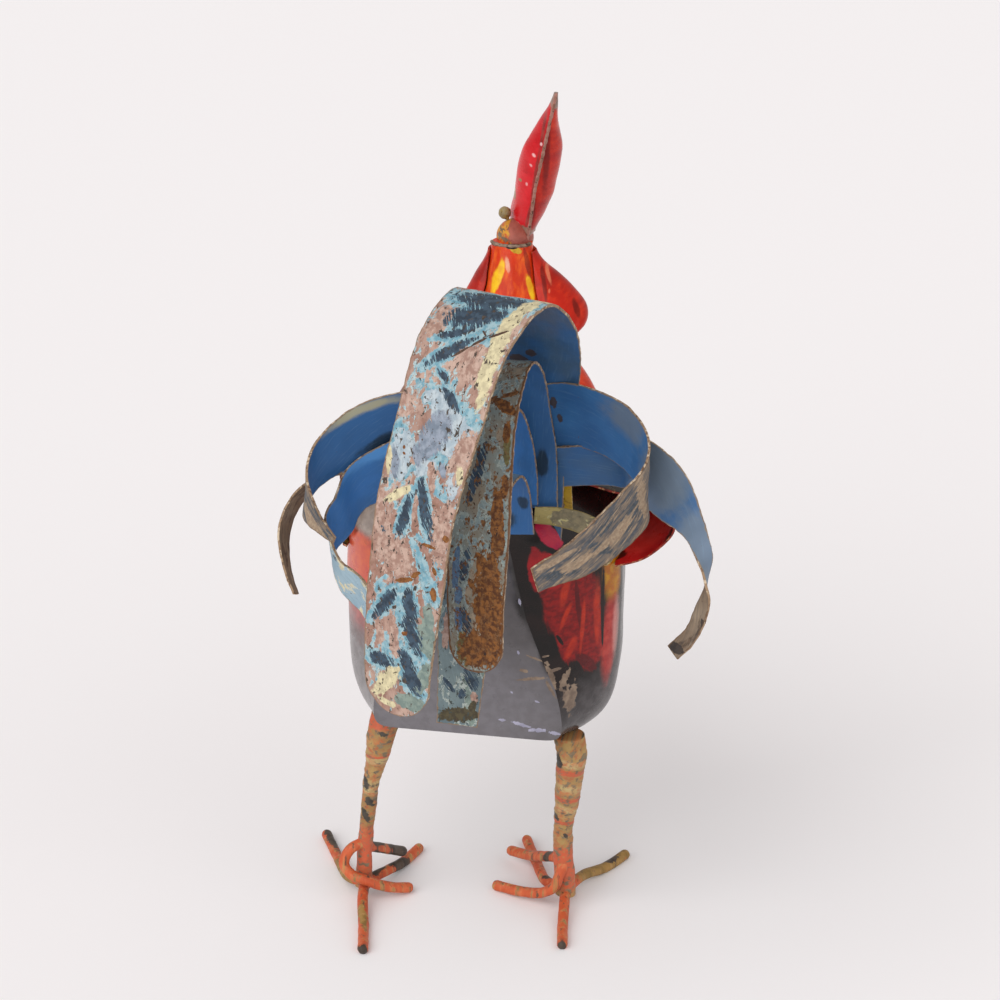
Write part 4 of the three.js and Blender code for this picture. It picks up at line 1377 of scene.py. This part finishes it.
def second_outside():
    """The rusted face of the second sickle."""
    return flaked_paint("second sickle outside", ("#84908c", "#8f826e"), [
        dict(tones=("#7c8f92", "#94a19c"), size=7, cut=0.52, fringe="#b5bcb0"),
        dict(tones=TAN, size=5, spots=SECOND_TAN, pull=0.7),
        dict(tones=SLATE, size=5, spots=SECOND_SLATE, pull=1.1, streaks=0.7),
        dict(tones=("#4f7398", "#3f6084"), size=4, spots=SECOND_BLUE, strength=0.8, pull=1.2, ragged=1.2),
        dict(tones=OLIVE, size=4, spots=SECOND_OLIVE, pull=0.8),
        dict(tones=("#96602c", "#5c3516"), size=4, spots=SECOND_RUST, pull=1.2, ragged=2.2, soft=0.05),
        dict(tones=("#8d6138", "#6b4420"), size=3, cut=0.57, soft=0.03),
        dict(tones=("#3f2a1a", "#33221a"), size=2.4, cut=0.63, soft=0.02, thick=-0.3),
    ], rim="#6e4626", rim_width=1.1, specks="#5a3216", speckled=0.6)


def third_outside():
    """The pale face of the third sickle, which hangs behind the others."""
    return flaked_paint("third sickle outside", ("#7a8b8d", "#64757b"), [
        dict(tones=GREEN, size=9, cut=0.54, fringe=PALE_FRINGE),
        dict(tones=("#4f7ba8", "#3d6896"), size=5, spots=THIRD_BLUE, pull=1.2),
        dict(tones=PINK, size=5, spots=THIRD_PINK, pull=0.8),
        dict(tones=SLATE, size=5, spots=THIRD_SLATE, pull=1.1, streaks=0.8),
        dict(tones=("#5a5138", "#473f2c"), size=4, spots=THIRD_OLIVE, pull=0.9),
        dict(tones=("#47504c", "#39423f"), size=3, cut=0.6, soft=0.02),
    ])


def short_outside():
    """The dull blue face of the short sickle, which hardly shows."""
    return flaked_paint("short sickle outside", ("#6f8798", "#8ba3b0"), [
        dict(tones=SLATE, size=9, cut=0.56, streaks=0.1),
    ])


def tan_outside():
    """Tan paint brushed over slate along the strip."""
    return flaked_paint("brushed tan outside", ("#8a7866", "#7a6f64"), [
        dict(tones=("#5a5c60", "#4b5058"), size=3, cut=0.5, stretch=9, soft=0.06, turn=10),
        dict(tones=("#50575f", "#414950"), size=3, spots=TAN_SLATE, pull=0.5, stretch=7,
             soft=0.06, turn=10),
        dict(tones=("#b09a80", "#9a836c"), size=2.6, spots=TAN_LIGHT, pull=0.6, stretch=8,
             soft=0.04, turn=14),
        dict(tones=("#a8927a", "#93806a"), size=2.2, cut=0.56, stretch=9, soft=0.03, turn=14),
    ], rim="#6e5844", brushed=0.3, specks="#3c332c")


def beige_outside():
    """Beige and brown paint brushed along the strip."""
    return flaked_paint("brushed beige outside", ("#9a8873", "#7f6b57"), [
        dict(tones=("#6e5a48", "#594839"), size=5, cut=0.55, stretch=4, soft=0.04),
        dict(tones=("#42362d", "#332a24"), size=5, spots=BROWN_DARK, pull=1.1),
    ], rim="#6b5440", brushed=0.45)


def pale_outside():
    """Pale blue paint with cream and slate scrapes."""
    return flaked_paint("pale blue outside", ("#9db6c3", "#8aa6b6"), [
        dict(tones=CREAM, size=7, cut=0.56, fringe=PALE_FRINGE, stretch=2.2),
        dict(tones=SLATE, size=5, cut=0.62, stretch=2.4, streaks=0.1),
    ], rim="#8f7f66")


# What a user of this file can change

class RoosterSizes(bpy.types.PropertyGroup):
    """Sizes of the rooster's sheet and rod"""

    sheet: bpy.props.FloatProperty(
        name="Sheet", description="Thickness of the sheet iron", default=SHEET * MM, min=0.5 * MM,
        max=3 * MM, subtype="DISTANCE", unit="LENGTH",
    )
    rod: bpy.props.FloatProperty(
        name="Rod", description="Diameter of the rod of the toes", default=ROD * MM, min=3 * MM,
        max=12 * MM, subtype="DISTANCE", unit="LENGTH",
    )
    hammering: bpy.props.FloatProperty(
        name="Hammering", description="Depth of the hammer marks on the tail", default=0.4 * MM, min=0,
        max=2 * MM, subtype="DISTANCE", unit="LENGTH",
    )
    ragged: bpy.props.FloatProperty(
        name="Ragged edge", description="Depth of the nicks in the cut edges", default=0.2 * MM, min=0,
        max=2 * MM, subtype="DISTANCE", unit="LENGTH",
    )
    bead: bpy.props.FloatProperty(
        name="Weld bead", description="Radius of the weld beads", default=1.1 * MM, min=0.5 * MM,
        max=3 * MM, subtype="DISTANCE", unit="LENGTH",
    )


class RoosterColours(bpy.types.PropertyGroup):
    """Main colours of the rooster and of its stage"""

    inside: bpy.props.FloatVectorProperty(
        name="Inside", description="Blue of the tail's inner faces", default=hue("#37679c"), size=4,
        min=0, max=1, subtype="COLOR",
    )
    # The plate's grey stands for glossy black paint with painted reflection in it
    plate: bpy.props.FloatVectorProperty(
        name="Rear plate", description="Grey of the body's rear plate", default=hue("#504c4d"), size=4,
        min=0, max=1, subtype="COLOR",
    )
    neck: bpy.props.FloatVectorProperty(
        name="Neck", description="Orange red of the neck", default=hue("#d83c14"), size=4, min=0, max=1,
        subtype="COLOR",
    )
    comb: bpy.props.FloatVectorProperty(
        name="Comb", description="Red of the comb's left half", default=hue("#cc1a22"), size=4, min=0,
        max=1, subtype="COLOR",
    )
    toes: bpy.props.FloatVectorProperty(
        name="Toes", description="Orange of the toes", default=hue("#c65c34"), size=4, min=0, max=1,
        subtype="COLOR",
    )
    floor: bpy.props.FloatVectorProperty(
        name="Floor", description="Colour of the floor", default=hue("#f4f2f3"), size=4, min=0, max=1,
        subtype="COLOR",
    )
    light: bpy.props.FloatVectorProperty(
        name="Light", description="Colour of the studio lamps", default=(1, 0.995, 0.99), size=3, min=0,
        max=1, subtype="COLOR",
    )


def colour(name):
    """One of the colours that can be changed."""
    return tuple(getattr(bpy.context.scene.rooster_colours, name))


def sizes():
    """The sizes in millimetres."""
    held = bpy.context.scene.rooster_sizes
    names = ("sheet", "rod", "hammering", "ragged", "bead")
    return {name: getattr(held, name) * METRE_IN_MM for name in names}


# The steps of the build

class ROOSTER_OT_body(bpy.types.Operator):
    """Build the closed sheet body with its flat rear plate"""

    bl_idname = "rooster.body"
    bl_label = "Body"

    def execute(self, context):
        piece = loft("body_shell_skin", body_surface, 160, 90, 14)
        beige_chips = ("#8d7a68", "#6e5d50")
        lilac = ("#a7a5b8", "#8d8b9e")
        right = hand_paint("right side", ("#14100f", "#211614"), [
            # Painted reflection: grey low on the glossy black side near the rear corner
            dict(tones=("#3a3637", "#4a4647"), spots=[(40, 140, 60, 40, 0)], soft=0.3, ragged=0.4),
            dict(tones=("#c83c1c", "#b03018"), size=6, spots=[(-50, 330, 60, 34, 0)], soft=0.2),
            dict(tones=("#6a1012", "#8a1816"), size=5, spots=PANEL_FEATHER, ragged=0.6, turn=90, stretch=4,
                 tone_size=3),
            dict(tones=("#8c141c", "#a01a1e"), size=6, spots=PANEL_DROP, ragged=0.5, cut=0.2),
            dict(tones=("#a3143c", "#b8243e"), size=6, spots=PANEL_MAGENTA, ragged=0.7, cut=0.15),
            dict(tones=("#4f0f12", "#5e1214"), size=6, spots=PANEL_DARKRED, ragged=0.6, cut=0.2),
            dict(tones=("#b8801a", "#a05c14"), size=6, spots=PANEL_OCHRE, ragged=0.4, soft=0.3),
            dict(tones=("#9c2420", "#b03a30"), size=6, spots=PANEL_PINK, ragged=0.4, soft=0.3),
            dict(tones=("#c03418", "#a02616"), size=5, spots=PANEL_STREAK, ragged=0.9, soft=0.35,
                 strength=0.75, turn=90, stretch=3),
            dict(tones=("#180e0d", "#22100e"), size=4, spots=PANEL_LINE, ragged=0.5),
            dict(tones=("#d8a8a0", "#c89890"), size=6, spots=PANEL_GLARE, soft=0.4, strength=0.5),
            dict(tones=beige_chips, size=3, spots=PANEL_CHIP, ragged=2.2, cut=0.2, soft=0.05),
        ], gloss=0.26, coat=0.1, flat_axes=(1, 2), fleck_cut=0.76, flecks="#8f8a90", shine=0.2)
        left = hand_paint("left side", ("#5a2a1e", "#7a2c1c"), [
            dict(tones=("#a2948a", "#8d8078"), size=9, spots=[(40, 284, 90, 28, 0)], soft=0.15),
            dict(tones=("#cc5a34", "#c04a38"), size=9, spots=[(40, 236, 90, 24, 0)], soft=0.15),
            dict(tones=("#b05650", "#94504c"), size=9, spots=[(40, 208, 90, 14, 0)], soft=0.4),
            # Painted reflection: the grey low on the left side is the pale floor mirrored in the rounded
            # gloss paint
            dict(tones=("#7d797a", "#6c6869"), size=9, spots=[(40, 150, 90, 52, 0)], soft=0.4),
        ], gloss=0.3, coat=0.2, flat_axes=(1, 2))
        # The plate's paint is glossy black: its grey ground is painted reflection, and the lighter patch
        # low on it is painted reflection of the pale floor
        plate = hand_paint("rear plate", (colour("plate"), "#5c5859"), [
            dict(tones=("#78757a", "#6f6c70"), size=30, spots=[(10, 165, 90, 42, 0)], soft=0.5,
                 ragged=0.2, strength=0.8),
            dict(tones=("#1c1918", "#2a2625"), size=8, spots=PLATE_BLACK, soft=0.4, ragged=0.5),
            dict(tones=lilac, size=2.5, spots=PLATE_SCUFF, ragged=2.4, cut=0.15, soft=0.04),
            dict(tones=beige_chips, size=2.5, spots=PLATE_CHIP, ragged=1.8, cut=0.15, soft=0.04),
        ], gloss=0.3, coat=0.2, flat_axes=(0, 2), fleck_cut=0.77, fleck_size=1.6, flecks="#a7a5b0")
        dress(piece, left, plate, left, right)
        smooth(piece, 42)
        hand_over(piece, "body_shell")
        return {"FINISHED"}


class ROOSTER_OT_neck(bpy.types.Operator):
    """Build the rolled neck and its two flared sheets"""

    bl_idname = "rooster.neck"
    bl_label = "Neck and hackles"

    def execute(self, context):
        piece = loft("neck_skin", neck_surface, 72, 60, 4)
        paint = hand_paint("neck paint", (colour("neck"), "#c03010"), [
            dict(tones=("#e2601c", "#d8501a"), size=5, cut=0.54, stretch=3, turn=90, soft=0.1),
            dict(tones=("#8f2410", "#6e1c10"), size=4, spots=NECK_DARK, soft=0.2, strength=0.7),
            dict(tones=("#f0c020", "#e2a01c"), size=4, spots=NECK_YELLOW, soft=0.2, turn=90,
                 stretch=3, ragged=1.1),
            dict(tones=("#f2c8a8", "#ecb090"), size=3, spots=NECK_PALE, soft=0.3, strength=0.6),
            dict(tones=("#c8a030", "#a87c20"), size=3, spots=NECK_OCHRE, ragged=1.0),
            dict(tones=("#241812", "#3a2418"), size=3, spots=NECK_HOLE, ragged=0.6),
        ], gloss=0.28, coat=0.06, flat_axes=(0, 2), fleck_cut=0.8, shine=0.15)
        dress(piece, paint)
        smooth(piece, 60)
        iron = bare_iron("neck weld", ("#8f7c6c", "#6e5a4a"))
        x, y, z, across, deep = (ring[0] for ring in neck_at(np.array([1.0])))
        turns = np.linspace(-0.42, 0.42, 9) * math.pi
        line = [[x + across * math.sin(turn), y + deep * math.cos(turn) * 0.92, z + 0.6] for turn in turns]
        collar = bead("neck_top_weld", line, sizes()["bead"] * 1.15, 3.4, 8)
        dress(collar, iron)
        smooth(collar, 60)
        join(piece, collar)
        hand_over(piece, "neck_cone")
        for name, side in (("left", 1), ("right", -1)):
            tones = ("#b4281e", "#8f1a14") if side > 0 else ("#bc2412", "#96180c")
            flap_paint = hand_paint(f"hackle {name} paint", tones, [
                dict(tones=("#cc3418", "#b0200f"), size=10, cut=0.55, soft=0.12),
                # Painted shade and a painted highlight, whose spots fall on the right flap
                dict(tones=("#6e1208", "#5c1008"), size=5, spots=FLAP_PAINTED_SHADE, soft=0.25, strength=0.8),
                dict(tones=("#d87858", "#c86444"), size=3, spots=FLAP_PAINTED_HIGHLIGHT, soft=0.3, strength=0.8),
            ], gloss=0.3, coat=0.06, flat_axes=(0, 2), fleck_cut=0.8, shine=0.15)
            rim = worn_rim(f"hackle {name} edge", ("#a82a1a", "#8f2014"), "#b85a3c")
            surface = hackle_surface(side, HACKLE_REACH[name])
            flap = sheet(
                f"hackle_{name}_sheet", surface, 44, 40, sizes()["sheet"] * MM,
                (flap_paint, flap_paint, rim),
            )
            hand_over(flap, f"hackle_{name}")
        return {"FINISHED"}


def eye_root(side, aside, ahead, up):
    """The line of the weld from an eye's middle down to the head's skin."""
    place = np.array([side * aside, ahead, up], float)
    skin = place / np.linalg.norm(place / np.array(HEAD_RADII))
    steps = np.linspace(0.2, 0.97, 4)[:, None]
    return list(head_point(*(place + (skin - place) * steps).T))


class ROOSTER_OT_head(bpy.types.Operator):
    """Build the head with its eyes, beak and wattles"""

    bl_idname = "rooster.head"
    bl_label = "Head"

    def execute(self, context):
        head_paint = hand_paint("head paint", ("#d8a030", "#c88a34"), [
            dict(tones=("#c85a2a", "#b8481e"), size=4, cut=0.52, soft=0.06),
            dict(tones=("#5c4c3a", "#7d6e58"), size=3.4, cut=0.54, soft=0.04),
            dict(tones=("#a4584a", "#8f4a3e"), size=4, spots=[(-10, 414, 11, 16, 0)], soft=0.1, ragged=0.5),
        ], gloss=0.45, flat_axes=(0, 2), depth=0.3)
        comb_paint = hand_paint("wattle paint", ("#b01c18", "#8f1612"), [
            dict(tones=("#c8302c", "#a82018"), size=8, cut=0.55),
        ])
        eye_paint = hand_paint("eye paint", ("#7a6c50", "#94845e"), [
            dict(tones=("#c8a83c", "#b08c30"), size=2.6, cut=0.56, soft=0.05),
            dict(tones=("#4a3c30", "#3a2e26"), size=2.6, cut=0.58, soft=0.05),
        ], gloss=0.45, depth=0.2)
        head = loft("head_ball", head_surface, 48, 36, 1)
        dress(head, head_paint)
        smooth(head, 60)
        hand_over(head, "head")
        for name, side in (("left", 1), ("right", -1)):
            eye = loft(f"eye_{name}_ball", eye_surface(side, *EYE_PLACE[name]), 28, 20, 1)
            dress(eye, eye_paint)
            smooth(eye, 60)
            root = eye_root(side, *EYE_PLACE[name])
            stalk = bead(f"eye_{name}_weld", root, sizes()["bead"] * EYE_WELD, 2.6, side)
            dress(stalk, eye_paint)
            smooth(stalk, 60)
            join(eye, stalk)
            hand_over(eye, f"eye_{name}")
            wattle = loft(f"wattle_{name}_leaf", wattle_surface(side), 32, 30, 2)
            dress(wattle, comb_paint)
            smooth(wattle, 50)
            hand_over(wattle, f"wattle_{name}")
        for name, up in (("upper", 1), ("lower", -1)):
            beak = loft(f"beak_{name}_horn", beak_surface(up), 36, 24, 3)
            dress(beak, head_paint)
            smooth(beak, 50)
            hand_over(beak, f"beak_{name}")
        return {"FINISHED"}


class ROOSTER_OT_comb(bpy.types.Operator):
    """Build the comb of two domed halves with its welded seam"""

    bl_idname = "rooster.comb"
    bl_label = "Comb"

    def execute(self, context):
        piece = loft("comb_leaf", comb_surface, 96, 110, 3)
        marks = [
            dict(tones=("#6a2420", "#8f4038"), size=3, spots=COMB_LINE, soft=0.4, strength=0.8),
            dict(tones=("#9a8074", "#7d665c"), size=3, spots=COMB_TIP, ragged=0.8, soft=0.2),
            dict(tones=("#b08a68", "#94704e"), size=3, spots=COMB_CHIP, ragged=1.4, cut=0.15),
            dict(tones=("#9a7868", "#7d5f52"), size=3, spots=COMB_BASE, ragged=1.2, cut=0.15),
            # Pale pink painted highlights
            dict(tones=("#f0c8c8", "#e0a8a8"), size=2, spots=COMB_PAINTED_HIGHLIGHT, soft=0.4, strength=0.8),
        ]
        left = hand_paint("comb left half", (colour("comb"), "#b4141c"), [
            dict(tones=("#d82830", "#cc2028"), size=14, cut=0.5, soft=0.15), *marks,
        ], gloss=0.28, coat=0.06, flat_axes=(0, 2), fleck_cut=0.76, flecks="#7a1418", shine=0.15)
        # The right half is painted a darker red than the left as painted shade, with bands of painted shade
        # beside the seam
        right = hand_paint("comb right half", ("#b41c14", "#9c1410"), [
            dict(tones=("#cc3418", "#c42c16"), size=12, cut=0.53, soft=0.15),
            dict(tones=("#6e0f0c", "#5a0c0a"), size=8, spots=COMB_PAINTED_SHADE, soft=0.4, strength=0.75), *marks,
        ], gloss=0.28, coat=0.06, flat_axes=(0, 2), fleck_cut=0.78, shine=0.15)
        dress(piece, left, left, right, right)
        smooth(piece, 50)
        seam = [[x, y + 0.2, z] for x, y, z in COMB_SEAM]
        weld = bead("comb_seam_weld", seam, sizes()["bead"], 4.2, 3)
        dress(weld, bare_iron("comb weld", ("#a8786c", "#8a6454"), "#5a3a30"))
        smooth(weld, 60)
        join(piece, weld)
        hand_over(piece, "comb")
        return {"FINISHED"}


class ROOSTER_OT_wings(bpy.types.Operator):
    """Build the two cupped wing sheets"""

    bl_idname = "rooster.wings"
    bl_label = "Wings"

    def execute(self, context):
        rim = worn_rim("wing edge", ("#8a2c20", "#5c2018"), "#b0805c")
        outside = hand_paint("wing outside", ("#cc2624", "#b81e1e"), [
            dict(tones=("#e03c34", "#d83028"), size=9, spots=WING_RED, soft=0.25, ragged=0.6),
            dict(tones=("#4a1812", "#5c1c14"), size=7, spots=WING_MAROON, soft=0.2, ragged=1.0),
        ], gloss=0.3, coat=0.06, lay="Lay", shine=0.15)
        inside = hand_paint("wing inside", ("#16110f", "#2a1a14"), [
            dict(tones=("#a88420", "#8f6c1c"), size=9, cut=0.6, stretch=2, soft=0.1),
            dict(tones=("#d84848", "#c83434"), size=5, cut=0.64, stretch=4, soft=0.05),
        ], gloss=0.3, coat=0.2, lay="Lay")
        for name, side in (("left", 1), ("right", -1)):
            faces = (inside, outside, rim)
            wing = sheet(
                f"wing_{name}_sheet", wing_surface(side, WING_FLARE[name]), 60, 56,
                sizes()["sheet"] * MM, faces,
            )
            hand_over(wing, f"wing_{name}")
        return {"FINISHED"}


# What differs on each strip's inner face: its second blue, and where grey haze and dark painted shade lie
# on it
INSIDES = {
    "sickle_main": {
        "other": "#42617f", "haze_tone": "#5c6474", "haze": [(205, 0, 60, 50, 0)],
        "marks": [(120, 14, 5, 6, 0), (128, 6, 4, 4, 0), (112, 20, 4, 4, 0)],
    },
    "sickle_second": {"other": "#35608f", "dark": [(60, 8, 30, 5, 0), (30, -6, 12, 5, 0)]},
    "sickle_third": {"other": "#3f7cc0", "marks": [(60, 2, 3, 2, 0)]},
    "sickle_short": {"other": "#3a6ea8", "dark": [(10, 4, 8, 6, 0), (22, -6, 6, 4, 0)]},
    "curl_right_upper": {
        "other": "#4076ac", "haze_tone": "#77828c", "haze": [(85, 12, 26, 14, 0), (125, 0, 24, 26, 0)],
        "marks": [(28, 8, 2.5, 4, 0), (30, -2, 2, 3, 0)],
    },
    "curl_right_lower": {
        "other": "#45688e", "haze_tone": "#77838e", "haze": [(110, 0, 34, 34, 0), (165, 0, 44, 24, 0)],
        "marks": [(28, 4, 2.5, 3, 0)],
    },
    "curl_left_upper": {
        "other": "#356498", "haze_tone": "#c2b98c", "haze": [(85, 14, 34, 4, 0)],
        "dark": [(70, -10, 30, 6, 0)],
    },
    "curl_left_lower": {"other": "#3a74b4", "haze_tone": "#5a9ad8", "haze": [(75, 13, 34, 5, 0)]},
    "curl_left_outer": {"other": "#4a6c94"},
}
# Strips whose outer face is the one that their normals point to
OUTER_FACE_AHEAD = ("curl_left_upper", "curl_left_lower")


def build_strip(name, shape, faces, seed, hammering, masks=None):
    """One strip of sheet. Its faces are the one that its normals point to, the other one and the rim."""
    surface, length = strip_surface(**shape, seed=seed, hammering=hammering, ragged=sizes()["ragged"])
    across = max(8, int(max(shape["widths"]) / STRIP_STEP_ACROSS))
    along = int(length / STRIP_STEP_ALONG)
    return sheet(f"{name}_sheet", surface, across, along, sizes()["sheet"] * MM, faces, masks)


class ROOSTER_OT_tail(bpy.types.Operator):
    """Build the nine tail strips"""

    bl_idname = "rooster.tail"
    bl_label = "Tail"

    def execute(self, context):
        rim = worn_rim("tail edge")
        blue = colour("inside")
        outsides = {
            "sickle_main": main_outside(), "sickle_second": second_outside(),
            "sickle_third": third_outside(), "sickle_short": short_outside(),
            "curl_right_upper": tan_outside(), "curl_right_lower": beige_outside(),
            "curl_left_upper": tan_outside(), "curl_left_lower": pale_outside(),
            "curl_left_outer": beige_outside(),
        }
        for seed, (name, shape) in enumerate(TAIL_STRIPS.items()):
            inside = blue_inside(f"{name} inside", seed, blue, **INSIDES[name])
            outside = outsides[name]
            if name in OUTER_FACE_AHEAD:
                inside, outside = outside, inside
            masks = MAIN_MASKS if name == "sickle_main" else None
            piece = build_strip(name, shape, (inside, outside, rim), seed, sizes()["hammering"], masks)
            hand_over(piece, name)
        return {"FINISHED"}


class ROOSTER_OT_feathers(bpy.types.Operator):
    """Build the small feather sheets under the tail"""

    bl_idname = "rooster.feathers"
    bl_label = "Feathers"

    def execute(self, context):
        rim = worn_rim("feather edge", ("#a8925c", "#7a6a48"))
        gold = flaked_paint("gold feather", ("#c4b070", "#b09c5c"), [
            dict(tones=("#9c8e6c", "#857a60"), size=5, spots=[(28, 0, 18, 8, 0)], pull=1.2),
            dict(tones=("#8a8270", "#6e685c"), size=5, spots=[(52, 0, 14, 9, 0)], pull=1.2),
            dict(tones=("#d8cf9c", "#c8b878"), size=4, cut=0.6),
        ], rim="#8f7c4c", specks="#5a4c34")
        beige = flaked_paint("beige feather", ("#a59a88", "#b8ad98"), [
            dict(tones=("#5f4a38", "#46372b"), size=8, cut=0.6),
        ])
        ochre = hand_paint("ochre plate", ("#b08c24", "#c4a02c"), [
            dict(tones=("#8f6c18", "#6e4f14"), size=6, cut=0.58),
        ])
        faces = {"feather_gold": gold, "feather_plate": ochre, "feather_left": beige}
        for seed, (name, shape) in enumerate(FEATHERS.items(), 20):
            piece = build_strip(name, shape, (faces[name], faces[name], rim), seed, FEATHER_HAMMERING)
            if name == "feather_plate":
                rivet_paint = bare_iron("rivets")
                for height in PLATE_RIVETS:
                    rivet = tube(
                        f"rivet_{height}", [[RIVET_X, y, height] for y in RIVET_Y], RIVET_RADIUS,
                        sides=16, pitch=0.3,
                    )
                    dress(rivet, rivet_paint)
                    smooth(rivet, 60)
                    join(piece, rivet)
            hand_over(piece, name)
        return {"FINISHED"}


class ROOSTER_OT_legs(bpy.types.Operator):
    """Build the two shanks"""

    bl_idname = "rooster.legs"
    bl_label = "Legs"

    def execute(self, context):
        paint = hand_paint("leg paint", ("#b0905a", "#96784a"), [
            dict(tones=("#c8b684", "#b8a674"), size=5, spots=LEG_CREAM, ragged=1.8, soft=0.3,
                 strength=0.7),
            dict(tones=("#bc6a40", "#a85a3c"), size=5, cut=0.53, soft=0.12, strength=0.8),
            dict(tones=("#c8583a", "#b85a3e"), size=4, spots=LEG_BAND, ragged=2.0, soft=0.25,
                 strength=0.9),
            dict(tones=("#84765c", "#6a5c4a"), size=4, cut=0.57, soft=0.05),
            dict(tones=("#4c463e", "#3a3630"), size=3, spots=LEG_DARK, ragged=1.6, soft=0.15),
        ], gloss=0.5, fleck_cut=0.7, fleck_size=1.8, depth=0.25, flat_axes=(0, 2), flecks="#4a3f34")
        for seed, (name, leg) in enumerate(LEGS.items()):
            surface = leg_surface(leg["line"], leg["half_widths"], seed + 30)
            piece = loft(f"leg_{name}_shank", surface, 44, 110, 4)
            dress(piece, paint)
            smooth(piece, 60)
            hand_over(piece, f"leg_{name}")
        return {"FINISHED"}


class ROOSTER_OT_feet(bpy.types.Operator):
    """Build the bent rods of the feet"""

    bl_idname = "rooster.feet"
    bl_label = "Feet"

    def execute(self, context):
        paint = hand_paint("toe paint", (colour("toes"), "#b8502e"), [
            dict(tones=("#d87c50", "#cc6c44"), size=5, cut=0.54, soft=0.1),
            dict(tones=("#a07c44", "#846836"), size=5, spots=TOE_OCHRE, ragged=1.8, soft=0.15),
            dict(tones=("#b08a54", "#8f7044"), size=5, cut=0.58, soft=0.05),
            dict(tones=("#5a4434", "#6e5440"), size=3.4, cut=0.62, soft=0.05),
            dict(tones=("#3e342c", "#54463a"), size=3, spots=TOE_DARK, ragged=1.8, soft=0.15),
        ], gloss=0.5, fleck_cut=0.7, fleck_size=2, depth=0.25, flat_axes=(0, 1), flecks="#4a3a30")
        seed = 40
        for side, lines in TOES.items():
            for toe, line in lines.items():
                seed += 1
                piece = tube(
                    f"{toe}_{side}_rod", line, sizes()["rod"] / 2 * WITHIN_SOLID,
                    flat=True, lumps=0.03, seed=seed,
                )
                dress(piece, paint)
                smooth(piece, 60)
                hand_over(piece, f"{toe}_{side}")
        return {"FINISHED"}


def lamp(name, place, target, spread, strength):
    """A soft even lamp that shines from a place to another, in metres, over a spread in degrees."""
    bpy.ops.object.light_add(type="SUN", location=place)
    light = bpy.context.object
    light.name = name
    light.data.angle = math.radians(spread)
    light.data.energy = strength
    light.data.color = colour("light")
    light.rotation_euler = (Vector(target) - Vector(place)).to_track_quat("-Z", "Y").to_euler()
    return light


class ROOSTER_OT_stage(bpy.types.Operator):
    """Set the floor, the lamps and the camera"""

    bl_idname = "rooster.stage"
    bl_label = "Stage"

    def execute(self, context):
        scene = context.scene
        bpy.ops.object.select_all(action="DESELECT")
        bpy.ops.mesh.primitive_plane_add(size=FLOOR_SIZE, location=(0, 0, 0))
        floor = context.object
        floor.name = "floor"
        finish = Finish("floor")
        dress(floor, finish.surface(colour("floor"), 0.9, shine=0.0))

        target = Vector((CAMERA_TARGET[axis] + SHIFT[axis]) * MM for axis in range(3))
        lamps = [
            lamp(f"{name} lamp", place, target, spread, strength)
            for name, (place, spread, strength) in LAMPS.items()
        ]

        world = bpy.data.worlds.new("studio")
        scene.world = world
        world.use_nodes = True
        sky = world.node_tree.nodes["Background"]
        sky.inputs["Color"].default_value = hue("#f6f2f1")
        sky.inputs["Strength"].default_value = SKY_STRENGTH

        azimuth, height = math.radians(CAMERA_AZIMUTH), math.radians(CAMERA_HEIGHT_ANGLE)
        back = Vector((
            math.sin(azimuth) * math.cos(height), -math.cos(azimuth) * math.cos(height), math.sin(height),
        ))
        bpy.ops.object.camera_add(location=target + back * CAMERA_DISTANCE * MM)
        camera = context.object
        camera.name = "camera"
        camera.data.lens = CAMERA_LENS
        camera.data.sensor_width = SENSOR_WIDTH
        camera.rotation_euler = (-back).to_track_quat("-Z", "Y").to_euler()
        scene.camera = camera
        scene.view_settings.view_transform = "Standard"
        return {"FINISHED"}


OPERATORS = (
    ROOSTER_OT_body, ROOSTER_OT_neck, ROOSTER_OT_head, ROOSTER_OT_comb, ROOSTER_OT_wings, ROOSTER_OT_tail,
    ROOSTER_OT_feathers, ROOSTER_OT_legs, ROOSTER_OT_feet, ROOSTER_OT_stage,
)


class ROOSTER_PT_build(bpy.types.Panel):
    """The steps of the build and what can be changed"""

    bl_idname = "ROOSTER_PT_build"
    bl_label = "Iron rooster"
    bl_space_type = "VIEW_3D"
    bl_region_type = "UI"
    bl_category = "Rooster"

    def draw(self, context):
        """The settings and a button for each step."""
        layout = self.layout
        for held in (context.scene.rooster_sizes, context.scene.rooster_colours):
            for name in held.bl_rna.properties.keys():
                if name not in ("rna_type", "name"):
                    layout.prop(held, name)
        for operator in OPERATORS:
            layout.operator(operator.bl_idname)


CLASSES = (RoosterSizes, RoosterColours, *OPERATORS, ROOSTER_PT_build)


def register():
    """Add the settings, the steps and the panel."""
    for kind in CLASSES:
        bpy.utils.register_class(kind)
    bpy.types.Scene.rooster_sizes = bpy.props.PointerProperty(type=RoosterSizes)
    bpy.types.Scene.rooster_colours = bpy.props.PointerProperty(type=RoosterColours)


def unregister():
    """Take them away again."""
    del bpy.types.Scene.rooster_sizes
    del bpy.types.Scene.rooster_colours
    for kind in reversed(CLASSES):
        bpy.utils.unregister_class(kind)


def main():
    """Build the whole bird."""
    register()
    for operator in OPERATORS:
        group, name = operator.bl_idname.split(".")
        getattr(getattr(bpy.ops, group), name)()


if __name__ == "__main__":
    main()
